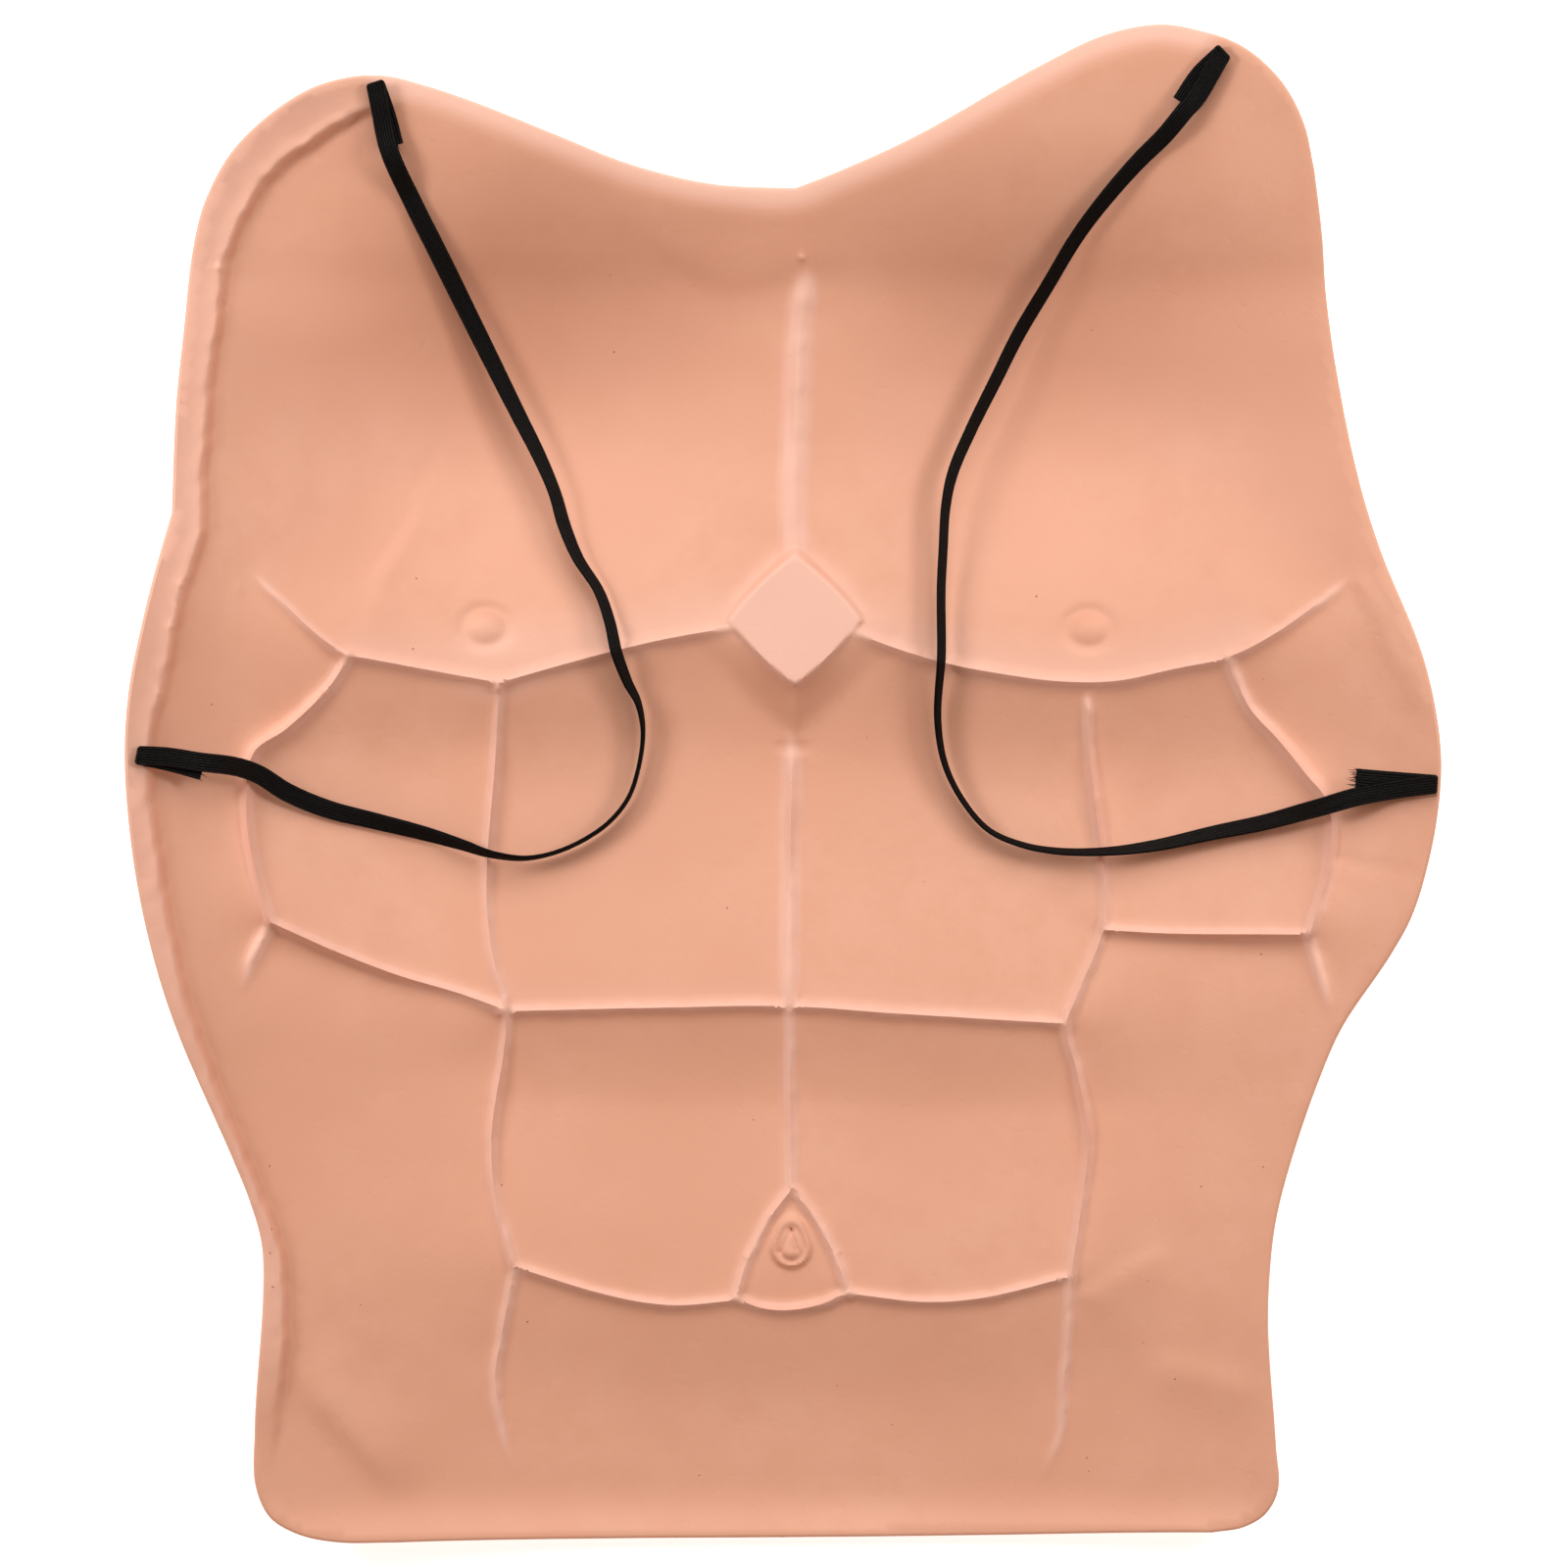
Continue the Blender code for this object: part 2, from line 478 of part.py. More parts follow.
def frames(path):
    """Each vertex of a path with the ribbon's width and thickness directions there."""
    heading = unit(np.gradient(path[:, :3], axis=0))
    x, y = path[:, 0], path[:, 1]
    reach = 3.0
    slope_x = (body_shape(x + reach, y) - body_shape(x - reach, y)) / (2 * reach)
    slope_y = (body_shape(x, y + reach) - body_shape(x, y - reach)) / (2 * reach)
    up = np.stack([-slope_x, -slope_y, np.ones(x.shape)], axis=1)
    level = unit(np.cross(heading, up))
    above = np.cross(level, heading)
    lean = np.radians(path[:, 3])[:, None]
    wide = level * np.cos(lean) + above * np.sin(lean)
    thick = above * np.cos(lean) - level * np.sin(lean)
    return list(zip(path[:, :3], wide, thick))


def fold(tail, run):
    """Frames of the half turn from a tail's fold end up to the run that lies over it."""
    (low, wide, _), (high, _, _) = tail[0], run[0]
    outward = unit(low - tail[1][0])
    up = unit(high - low)
    made = []
    for turn in np.radians(FOLD_TURNS):
        radial = math.cos(turn) * outward + math.sin(turn) * up
        made.append(((low + high) / 2 + np.linalg.norm(high - low) / 2 * radial, wide, radial))
    return made


def strap_frames(route, start_points, end_points):
    """A whole strap, from one cut end through both folds to the other cut end."""
    start_path, end_path = tail_path(start_points), tail_path(end_points)
    run = frames(resample(run_path(route, start_path, end_path), STATION))
    start = [(middle, wide, -thick) for middle, wide, thick
             in frames(resample(start_path, TAIL_STATION))]
    end = [(middle, -wide, -thick) for middle, wide, thick in frames(resample(end_path, TAIL_STATION))]
    return start[::-1] + fold(start, run) + run + fold(end, run[::-1])[::-1] + end


def pad_frames(points):
    """A glue pad under a tail, clear of its fold and of its cut end."""
    path = tail_path(points, PAD_LIFT)
    run = distances(path[:, :3])
    inner = (run > PAD_TRIM) & (run < run[-1] - PAD_TRIM)
    return frames(resample(path[inner], TAIL_STATION))


def make_ribbon(name, ribbon, width, thickness, material):
    """A closed solid of rectangular sections through the ribbon's frames."""
    shape = bmesh.new()
    sections = []
    for middle, wide, thick in ribbon:
        corners = ((-1, -1), (1, -1), (1, 1), (-1, 1))
        sections.append([shape.verts.new(middle + a * width / 2 * wide + b * thickness / 2 * thick)
                         for a, b in corners])
    for here, there in zip(sections, sections[1:]):
        for index in range(4):
            after = (index + 1) % 4
            shape.faces.new((here[index], here[after], there[after], there[index]))
    shape.faces.new(sections[0])
    shape.faces.new(sections[-1])
    bmesh.ops.triangulate(shape, faces=shape.faces)
    bmesh.ops.recalc_face_normals(shape, faces=shape.faces)
    return finish(shape, name, material, smooth_angle=30)


# ---------------------------------------------------------------- the object
def finish(shape, name, material, smooth_angle):
    """Turn geometry worked in millimetres into an object in metres."""
    bmesh.ops.translate(shape, vec=-Vector(ORIGIN), verts=shape.verts)
    bmesh.ops.scale(shape, vec=(MM, MM, MM), verts=shape.verts)
    mesh = bpy.data.meshes.new(name)
    shape.to_mesh(mesh)
    shape.free()
    mesh.shade_smooth()
    mesh.set_sharp_from_angle(angle=math.radians(smooth_angle))
    mesh.materials.append(material)
    made = bpy.data.objects.new(name, mesh)
    bpy.data.collections["chest_plate"].objects.link(made)
    return made


def plain_material(name, colour, roughness):
    """A material of one colour."""
    material = bpy.data.materials.new(name)
    material.use_nodes = True
    shader = material.node_tree.nodes["Principled BSDF"]
    shader.inputs["Base Color"].default_value = (*colour, 1)
    shader.inputs["Roughness"].default_value = roughness
    shader.inputs["Metallic"].default_value = 0.0
    return material


def main():
    for old in list(bpy.data.objects):
        bpy.data.objects.remove(old, do_unlink=True)
    bpy.context.scene.collection.children.link(bpy.data.collections.new("chest_plate"))
    foam = plain_material("eva_foam", (0.775, 0.392, 0.262), 0.62)
    elastic = plain_material("black_elastic", (0.008, 0.007, 0.006), 0.8)
    glue = plain_material("clear_glue", (0.62, 0.58, 0.50), 0.35)

    make_panel(foam)
    straps = (("left", LEFT_ROUTE, LEFT_SHOULDER_TAIL, LEFT_SIDE_TAIL),
              ("right", RIGHT_ROUTE, RIGHT_SHOULDER_TAIL, RIGHT_SIDE_TAIL))
    for side, route, shoulder_tail, side_tail in straps:
        ribbon = strap_frames(route, shoulder_tail, side_tail)
        make_ribbon(side + "_strap", ribbon, STRAP_WIDTH, STRAP_THICKNESS, elastic)
        for place, points in (("shoulder", shoulder_tail), ("side", side_tail)):
            make_ribbon(f"{side}_{place}_glue_pad", pad_frames(points), *PAD_SIZE, glue)


main()
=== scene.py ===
import math
import random

import bmesh
import bpy
import numpy as np
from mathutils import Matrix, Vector, noise
from mathutils.geometry import delaunay_2d_cdt


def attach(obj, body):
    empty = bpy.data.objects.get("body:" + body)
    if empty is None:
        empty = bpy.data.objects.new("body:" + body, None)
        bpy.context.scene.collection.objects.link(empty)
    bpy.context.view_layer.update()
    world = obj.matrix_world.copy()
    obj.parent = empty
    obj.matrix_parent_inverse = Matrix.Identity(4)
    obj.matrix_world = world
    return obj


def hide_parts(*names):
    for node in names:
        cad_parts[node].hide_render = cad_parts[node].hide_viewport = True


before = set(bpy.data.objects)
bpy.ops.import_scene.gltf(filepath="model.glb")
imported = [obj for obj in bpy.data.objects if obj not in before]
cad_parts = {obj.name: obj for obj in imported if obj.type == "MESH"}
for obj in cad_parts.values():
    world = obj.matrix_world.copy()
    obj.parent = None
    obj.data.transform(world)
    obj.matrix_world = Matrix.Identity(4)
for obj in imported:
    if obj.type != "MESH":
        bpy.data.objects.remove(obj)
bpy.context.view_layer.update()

# The looks of a costume muscle chest plate that lies on its front with its hollow inside up.
# The outlines, creases and strap routes are those of the CAD model, in its millimetres. They are
# moved to the frame and scaled to metres as each mesh is finished.

MM = 0.001
ORIGIN = np.array((0.0, -2.15, 0.0))  # the middle of the panel's box on the ground

# ---------------------------------------------------------------- panel, driving sizes
FOAM = 4.0              # thickness of the foam sheet
FLANK_RISE = 51.0       # how far the flanks curl up at HALF_WIDTH from the middle line
HALF_WIDTH = 205.0
FLANK_POWER = 3.3       # how late that curl starts
SHOULDER_EASE = 0.3     # how much flatter it is across the shoulders
MIDDLE_X = 2.5          # the middle line of the torso
PEC_DEPTH = 14.5        # how far each pec dips below the breastbone
PEC_CENTRE = (90.0, 118.0)
PEC_RADII = (96.0, 90.0)
SHELVES = [             # the shoulders are flatter than the neck: centre, radii and drop
    ((-158.0, 202.0), (76.0, 64.0), 12.0),
    ((135.0, 215.0), (88.0, 88.0), 7.0),
]
PAINTED_SHADE_PATCHES = [        # painted shade: darker, richer foam colour high in the chest, where the slopes face away from the light: centre, radii and share
    ((-98, 145), (112, 60), 1.0),
    ((102, 140), (100, 56), 0.7),
]
STEP_HEIGHT = 2.6       # the trimmed border stands this much above the moulded inside
STEP_WIDTH = 2.4
STEP_BEAD = 0.9         # its lip
STEP_FOOT = 0.7         # and the groove at its foot
NECK_BAND = 10.0        # the neck edge levels out over this width
NECK_SLOPE = 0.5
PLATEAU_CENTRE = (3.5, 52.0)
PLATEAU_REACH = 20.7    # from its centre to a corner
PLATEAU_HEIGHT = 22.0
PLATEAU_POWER = 1.15    # 1 would give straight sides, 2 a circle
CREST_WANDER = 0.28     # how far a crest strays from its line
CREST_UNEVEN = 0.14     # share by which its height varies
BORDER_WANDER = 0.7     # how far the border strays from its line
NIPPLES = ((-95.5, 50.0), (97.5, 49.4))
NAVEL = (2.3, -149.4)

# ---------------------------------------------------------------- straps, driving sizes
STRAP_WIDTH = 6.0
STRAP_THICKNESS = 1.1
STRAP_RIBS = 6          # cords of rubber under the braid
RIB_DEPTH = 0.20
RIBS_PER_METRE = STRAP_RIBS / (STRAP_WIDTH - STRAP_THICKNESS) / MM
BRAID_PITCH = 1.2 * MM
STRAP_STEP = 1.0        # distance between sections
LAYER_GAP = 0.35        # between the two layers where the strap folds back
LAYER_SPREAD = 0.03     # how fast the two layers part, away from the fold
FOLD_PINCH = 0.16       # how much narrower the strap is round the turn of a fold
THREADS = {             # loose threads at each cut end
    ("left", "shoulder"): 2,
    ("left", "side"): 3,
    ("right", "shoulder"): 3,
    ("right", "side"): 16,
}
THREAD_RADIUS = 0.26    # at its root
THREAD_ROOT = 0.5       # how deep a thread starts inside the strap
THREAD_REACH = (1.0, 3.6)
PAD_THICKNESS = 0.5
PAD_LIFT = 1.1          # of a glue pad's middle above the foam
TAIL_GAP = 0.3          # between a glue pad and the strap end over it
TAIL_LIFT = PAD_LIFT + PAD_THICKNESS / 2 + TAIL_GAP + STRAP_THICKNESS / 2
BRIDGE_RADIUS = 70.0    # how gently a loose strap sags into a hollow
GLUED_RADIUS = 18.0     # the same where it is glued down
EASING = 5.0            # length over which its bends are eased
EASING_SINK = 0.4       # and how far that may lower it
CLEARANCE = 1.2         # of a strap's underside above the foam

# ---------------------------------------------------------------- fineness of the panel's mesh
EDGE_STEP = 1.6
RIM_RADIUS = 1.1        # rounding of the cut edge
FIELD_STEP = 2.9        # inner skin, open surface
UNDER_STEP = 5.0        # outer skin, open surface
FIELD_GAP = 0.56        # share of those steps kept free round the finer vertices
CREASE_STEP = 1.7
CREASE_ROWS = (0.0, -0.8, 0.8, -1.6, 1.6, -2.6, 2.6, -4.2, 4.2)

# The height of the torso's middle line, from the bottom hem to the neck: (y, z).
SPINE = [(-243, 7.5), (-233, 3.8), (-216, 3.4), (-200, 4.2), (-172, 6.4), (-150, 7), (-115, 6.8),
         (-95, 7.2), (-72, 8.4), (-50, 8.2), (-20, 7.2), (8, 7.2), (30, 9.8), (52, 12.3), (80, 13),
         (110, 13.2), (136, 15), (158, 19.8), (172, 27), (186, 34.5), (200, 41), (214, 46),
         (228, 49.5), (245, 52)]

# The cut edge, anticlockwise, in runs that are each one smooth line.
NECK_LEFT = [(3.5, 189), (-23, 190.3), (-48, 196), (-74.5, 206), (-100, 215.7), (-114, 220.2),
             (-126.5, 222.9), (-145, 220), (-158.2, 213), (-173.3, 198.8), (-181.8, 182.8),
             (-185.6, 167.5), (-188.3, 142.5), (-190.7, 118), (-192, 84.5)]
LEFT_SIDE = [(-192, 84.5), (-196.3, 68.5), (-200.5, 51), (-204.7, 29.5), (-206.2, 10), (-204.8, -15),
             (-201.3, -39), (-195.5, -63.5), (-189.3, -82.5), (-174.7, -118.5), (-169.2, -133),
             (-165.8, -146), (-165.3, -160), (-168.4, -207), (-168.2, -223.5), (-163.8, -233.8),
             (-155, -239.5), (-143, -242.5), (-125, -243.3)]
BOTTOM = [(-125, -243.3), (-50, -243.2), (63, -242.2), (137, -240)]
RIGHT_SIDE = [(137, -240), (147, -238), (154, -233.5), (157.8, -226), (157.2, -212),
              (154.5, -172), (155, -156), (156.8, -140), (161.4, -121), (171.8, -89.5), (176.9, -77.5),
              (191.5, -54), (197.6, -42), (202.8, -24), (205.8, -5), (206.2, 9), (204.4, 23.5),
              (200.5, 40), (187.9, 73.5), (182.3, 92.5), (175, 129), (171.6, 153), (169.8, 173),
              (167, 192.5)]
NECK_RIGHT = [(167, 192.5), (163.3, 207.5), (156.5, 220), (144.8, 231), (130.5, 237),
              (118.5, 239), (101.5, 236), (82, 227), (41.5, 204.7), (16.5, 193.8), (3.5, 189)]

# The inner border of the trimmed edge on the left, from the neck down to the hem.
BORDER = [(-117.6, 214.2), (-132.8, 210.7), (-146.7, 203.5), (-159.9, 193.4), (-172.6, 173),
          (-178, 143), (-182, 98.5), (-182.3, 80.9), (-190.2, 51), (-194, 29.5), (-198.2, 13.8),
          (-193.4, -39), (-186.3, -73.4), (-174.4, -108.4), (-161.9, -140.5), (-158.4, -155.6),
          (-159.5, -190), (-163.3, -219.4)]


# How a crease's shoulder falls away on one side: the share of its height that drops steeply, the
# reach of that steep part, and the reach of the rest.
GENTLE = (0.0, 8, 50)
WIDE = (0.0, 8, 85)
UNDER = (0.15, 5.0, 42)
STEEP = (0.60, 2.2, 14)
BESIDE = (0.50, 2.4, 12)
NEAR = (0.55, 2.6, 9)


def crease(points, crest, width, height, left, right, fade=(0, 0)):
    """A raised line between two muscles: a rounded crest on a shoulder that falls away on the left
    and right of the line's direction. A fade of 0 is for an end that meets another crease."""
    return {"points": points, "line": smooth(points, 3.0), "crest": crest, "width": width,
            "height": height, "left": left, "right": right, "fade": fade}


def muscle_creases():
    """Every crease of the torso. Level ones run left to right: their left is above them."""
    return [
        # breastbone
        crease([(8, 167), (5, 144), (4, 119), (3, 94), (3.8, 70)],
               2.0, 3.4, 1.2, WIDE, BESIDE, (14, 0)),
        # under the pecs
        crease([(-170, 68), (-167, 65.3), (-138.5, 40.8), (-132, 39.5), (-113, 36), (-91, 32)],
               1.5, 1.5, 7.5, WIDE, UNDER, (16, 0)),
        crease([(-91, 32), (-61, 40.5), (-38, 46), (-15, 50)], 1.5, 1.5, 8.0, WIDE, UNDER),
        crease([(20, 49), (36, 43), (53, 38), (69, 35), (88, 32.5), (105, 32.5), (125, 36.5),
                (141, 40), (154, 46.5), (168, 56.3), (180, 66)], 1.5, 1.6, 7.8, WIDE, UNDER, (0, 14)),
        # ribs, left
        crease([(-138, 40.5), (-144, 31), (-158, 17), (-167.5, 10), (-170, -2), (-168, -25),
                (-162.5, -44)], 1.9, 1.8, 3.6, NEAR, NEAR),
        crease([(-162.5, -44), (-167.5, -54), (-172, -67.5)], 1.8, 2.0, 2.2, NEAR, NEAR, (0, 18)),
        crease([(-162.5, -44), (-143, -53.3), (-123, -61.3), (-103.5, -67.3), (-89, -72.5)],
               1.8, 1.8, 4.6, GENTLE, NEAR),
        # ribs, right
        crease([(141, 40), (148, 24), (157, 13.7), (165.5, 2.8), (172, -6), (172.5, -26),
                (166.4, -48)], 1.7, 2.0, 3.2, NEAR, NEAR),
        crease([(166.4, -48), (169.5, -60), (174.2, -75.5)], 1.4, 2.0, 2.0, NEAR, NEAR, (0, 18)),
        crease([(102.5, -47), (122, -48), (165, -48)], 1.8, 1.8, 4.4, GENTLE, NEAR),
        # sides of the belly muscles, left and right, above and below the navel
        crease([(-91, 31), (-92.5, 8), (-95.3, -35), (-93.5, -54), (-89, -72), (-93.8, -115),
                (-92, -136), (-86.3, -155)], 1.9, 1.5, 3.0, STEEP, GENTLE),
        crease([(-86.3, -155), (-90, -174), (-92.8, -191), (-91, -207), (-86, -226)],
               1.7, 1.6, 2.4, STEEP, GENTLE, (0, 34)),
        crease([(97, 30), (98, 8), (102, -26), (102.5, -45), (93, -69.5), (90.3, -77), (94, -93),
                (97.5, -114), (95, -137), (92, -157)], 2.2, 1.5, 2.6, BESIDE, BESIDE, (7, 0)),
        crease([(92, -157), (90, -191), (88.8, -209), (81, -228)],
               1.6, 1.7, 2.0, BESIDE, BESIDE, (0, 36)),
        # middle line of the belly
        crease([(2.6, 18), (1.6, -67)], 1.9, 2.3, 2.0, STEEP, NEAR, (12, 0)),
        crease([(1.6, -67), (2.3, -130)], 1.5, 1.9, 1.5, STEEP, NEAR),
        # level creases of the belly
        crease([(-89, -73), (-42, -72), (1.6, -71.5), (36, -73.8), (64, -75.5), (90, -77)],
               1.6, 1.5, 6.6, WIDE, UNDER),
        crease([(-86.3, -155), (-52, -165.3), (-35, -167.5), (-16, -166)], 1.6, 1.4, 5.4, WIDE, UNDER),
        crease([(21, -163.8), (47, -166.5), (64, -165), (92, -158)], 1.6, 1.4, 5.4, WIDE, UNDER),
        # the frame around the navel
        crease([(2.8, -130), (-5, -140.3), (-11.6, -152.8), (-15.5, -165)], 2.0, 1.5, 1.8, NEAR, NEAR),
        crease([(2.8, -130), (10.3, -140.3), (17.2, -153.8), (20.8, -163.5)], 2.0, 1.5, 1.8, NEAR, NEAR),
        crease([(-15.5, -165), (-8, -168.3), (1, -169.2), (11, -167.5), (20.8, -163.5)],
               2.0, 1.5, 4.0, NEAR, UNDER),
    ]


# Each strap's route over the hollow, from its shoulder fold to its side fold:
# (x, y, lift above what it rests on, lean in degrees from flat).
LEFT_ROUTE = [(-128.3, 219.3, 0, 0), (-127.3, 214, 0, 0), (-124.6, 200, 0, 0), (-117.4, 183.5, 0, 0),
              (-111.7, 172, 1, 2), (-100.2, 148.4, 3, 14), (-85.1, 117.8, 5, 34), (-78.8, 105.3, 5, 42),
              (-73.4, 92.6, 4, 50), (-70.6, 83, 3, 48), (-66, 72, 2, 54), (-59, 61, 1, 60),
              (-55.6, 51.4, 0.8, 60), (-53.5, 42, 0.8, 58), (-50.1, 32.6, 0, 66), (-46.4, 24.8, 0, 78),
              (-45.2, 16.5, 0, 83), (-46.8, 4.4, 0, 84), (-50.1, -5, 0, 84), (-56.4, -12.8, 0, 84),
              (-65.8, -19.1, 0, 84), (-75.1, -22.8, 0, 84), (-83, -24.1, 0, 82), (-92.2, -23.1, 0, 76),
              (-103, -19.7, 0, 62), (-115.4, -16, 0, 46), (-130.7, -12.1, 0, 34), (-145.9, -8.1, 0, 20),
              (-157.9, -2.8, 0, 10), (-166.3, 2.8, 0, 4), (-172.8, 5.2, 0, 0), (-183.1, 6.6, 0, 0),
              (-193.4, 8.2, 0, 0), (-201.3, 8.6, 0, 0)]
LEFT_SHOULDER_TAIL = [(-128.3, 219.3), (-125.3, 210.5), (-122.9, 201)]
LEFT_SIDE_TAIL = [(-201.3, 8.6), (-192.5, 6.6), (-182.6, 3.8)]
RIGHT_ROUTE = [(137.5, 229, 0, 0), (134.2, 223.2, 0, 0), (129.7, 215.5, 0, 6), (126.1, 211.4, 0, 12),
               (120.1, 204.3, 0, 16), (112.6, 197.1, 0, 20), (102.2, 185.5, 1, 24), (93.3, 173.9, 1, 28),
               (84.4, 159.2, 3, 32), (75.4, 144.2, 4, 36), (67.7, 128.8, 5, 41), (59.9, 113.1, 5, 47),
               (53.9, 98.8, 5, 52), (51.7, 87.7, 4, 57), (50.9, 75.1, 3, 60), (50.2, 62.4, 2, 63),
               (50.2, 41.4, 0.8, 68), (49.3, 19.4, 0, 75), (52, 5, 0, 79), (58.7, -7.5, 0, 80),
               (66, -15.3, 0, 80), (77, -20, 0, 78), (88.5, -21.9, 0, 74), (102.5, -21.9, 0, 68),
               (118.5, -20, 0, 54), (136.9, -15.9, 0, 40), (152, -12.7, 0, 30), (167, -8.4, 0, 14),
               (181.9, -4, 0, 0), (193.6, -1.8, 0, 0), (203.8, -0.4, 0, 0)]
RIGHT_SHOULDER_TAIL = [(137.5, 229), (130.6, 222.5), (125, 214.2)]
RIGHT_SIDE_TAIL = [(203.8, -0.4), (192, 0.6), (180.4, 1.6)]

# Burrs of the mould: (x, y, radius, height).
BURRS = [(-177.6, 162, 1.4, 0.9), (-191.5, 49, 1.0, 0.6), (5.6, 167.4, 1.1, 0.9),
         (-91, -73.8, 1.2, 0.9), (21.4, -165.4, 1.0, 0.9), (-176.5, 152, 0.8, 0.6),
         (-138.8, 40.4, 1.5, 0.9), (-91.6, 30.2, 1.2, 0.7), (-188.4, 62, 1.0, 0.7),
         (-189.8, 55, 0.9, 0.6), (-195.2, 28, 1.0, 0.7), (-146, 28.6, 0.9, 0.5),
         (-169.4, 3, 1.1, 0.6), (-12.2, -152, 0.8, 0.5), (17.6, -150.5, 0.8, 0.5)]

# Colours of the foam: its body, its deeper blotches, paler crests that are partly stretched foam and
# partly a painted highlight, the painted shade high in the chest, and specks.
FOAM_BASE = (0.760, 0.388, 0.258)
FOAM_DEEP = (0.730, 0.358, 0.232)
# paler crests: partly the foam's own tone, partly a painted highlight on raised tops
FOAM_PALE_HIGHLIGHT = (0.860, 0.510, 0.400)
# painted shade high in the chest
FOAM_PAINTED_SHADE = (0.640, 0.300, 0.190)
FOAM_SPECK = (0.30, 0.13, 0.09)

# The elastic between its ribs, and the painted highlight on them.
ELASTIC_DARK = (0.0006, 0.0005, 0.0005)
# painted highlight on the rib crests
ELASTIC_RIB_HIGHLIGHT = (0.0300, 0.0280, 0.0260)


# ---------------------------------------------------------------- lines and distances
def smooth(points, step):
    """A line through the points with rounded turns, and a vertex about every step."""
    points = np.asarray(points, float)
    wide = np.vstack([2 * points[0] - points[1], points, 2 * points[-1] - points[-2]])
    line = []
    for before, here, there, after in zip(wide, wide[1:], wide[2:], wide[3:]):
        gap = np.linalg.norm(there - here)
        heading = (there - here) / gap
        leave = 0.5 * gap * ((here - before) / np.linalg.norm(here - before) + heading)
        arrive = 0.5 * gap * (heading + (after - there) / np.linalg.norm(after - there))
        for t in np.linspace(0, 1, max(2, math.ceil(gap / step) + 1))[:-1]:
            line.append((2 * t**3 - 3 * t**2 + 1) * here + (t**3 - 2 * t**2 + t) * leave
                        + (3 * t**2 - 2 * t**3) * there + (t**3 - t**2) * arrive)
    line.append(points[-1])
    return np.array(line)


def distances(line):
    """How far along the line each of its vertices is."""
    return np.concatenate([[0], np.cumsum(np.linalg.norm(np.diff(line, axis=0), axis=1))])


def nearest(line, x, y):
    """Each point's distance from the line, how squarely it lies to the left (+1) or right (-1) of
    it, how far along it lies, and the line's length."""
    best = np.full(x.shape, 1e9)
    side = np.zeros(x.shape)
    along = np.zeros(x.shape)
    run = 0.0
    for (ax, ay), (bx, by) in zip(line[:-1], line[1:]):
        dx, dy = bx - ax, by - ay
        length = math.hypot(dx, dy)
        t = np.clip(((x - ax) * dx + (y - ay) * dy) / length**2, 0, 1)
        away = np.hypot(x - ax - t * dx, y - ay - t * dy)
        closer = away < best
        square = (dx * (y - ay) - dy * (x - ax)) / (length * np.maximum(away, 1e-6))
        best = np.where(closer, away, best)
        side = np.where(closer, np.clip(square, -1, 1), side)
        along = np.where(closer, run + t * length, along)
        run += length
    return best, side, along, run


def faded(along, length, fade):
    """1 along a line, falling to 0 over the fade lengths at its start and end."""
    start, end = [ramp(away / reach) if reach else 1.0
                  for away, reach in ((along, fade[0]), (length - along, fade[1]))]
    return start * end


def ramp(t):
    """0 to 1 with soft ends."""
    t = np.clip(t, 0, 1)
    return t * t * (3 - 2 * t)


def dome(x, y, centre, radii):
    """1 at the centre of an ellipse, 0 outside it."""
    r = np.hypot((x - centre[0]) / radii[0], (y - centre[1]) / radii[1])
    return np.cos(0.5 * math.pi * np.clip(r, 0, 1)) ** 2


# ---------------------------------------------------------------- the panel's surfaces
CREASES = muscle_creases()
SPINE_LINE = smooth(SPINE, 3.0)
BORDER_LINE = smooth(BORDER, 4.0)
NECK_LINE = smooth(NECK_RIGHT[4:] + NECK_LEFT[1:7], 4.0)


def body_shape(x, y):
    """The large form: curled flanks, rising chest and the two pec hollows."""
    z = np.interp(y, SPINE_LINE[:, 0], SPINE_LINE[:, 1])
    rise = FLANK_RISE * (1 - SHOULDER_EASE * ramp((y - 120) / 90))
    z = z + rise * (np.abs(x - MIDDLE_X) / HALF_WIDTH) ** FLANK_POWER
    for side in (-1, 1):
        centre = (MIDDLE_X + side * PEC_CENTRE[0], PEC_CENTRE[1])
        z = z - PEC_DEPTH * dome(x, y, centre, PEC_RADII)
    for centre, radii, drop in SHELVES:
        z = z - drop * dome(x, y, centre, radii)
    return z


def fall(away, slope):
    """1 on a crease, falling to 0 at its reach: a steep part and a gentle one."""
    share, near, far = slope
    steep = 1 - np.sin(0.5 * math.pi * np.clip(away / near, 0, 1))
    rest = 1 - np.sin(0.5 * math.pi * np.clip(away / far, 0, 1))
    return share * steep + (1 - share) * rest


def crooked(along, start):
    """A wobble between about -1 and 1, like the hand-cut edge of the mould."""
    wobble = np.sin(along / 5.3 + start) + 0.7 * np.sin(along / 2.1 + 2.7 * start)
    return (wobble + 0.5 * np.sin(along / 1.1 + 5.1 * start)) / 2.2


def crease_shape(x, y):
    """The creases as two heights: their broad shoulders, and their narrow crests."""
    broad = np.zeros(x.shape)
    sharp = np.zeros(x.shape)
    for number, item in enumerate(CREASES):
        away, side, along, length = nearest(item["line"], x, y)
        fade = faded(along, length, item["fade"])
        left = 0.5 + 0.5 * side
        slope = left * fall(away, item["left"]) + (1 - left) * fall(away, item["right"])
        taper = faded(along, length, [3 * reach for reach in item["fade"]])
        broad = broad + (item["height"] * slope * taper) ** 4
        offset = away * side + CREST_WANDER * crooked(along, number)
        across = np.where(np.abs(side) > 0.7, np.abs(offset), away)
        crest = item["crest"] * (1 + CREST_UNEVEN * crooked(along, number + 0.5))
        sharp = np.maximum(sharp, crest * np.exp(-(across / item["width"]) ** 2) * fade)
    return broad ** 0.25, sharp


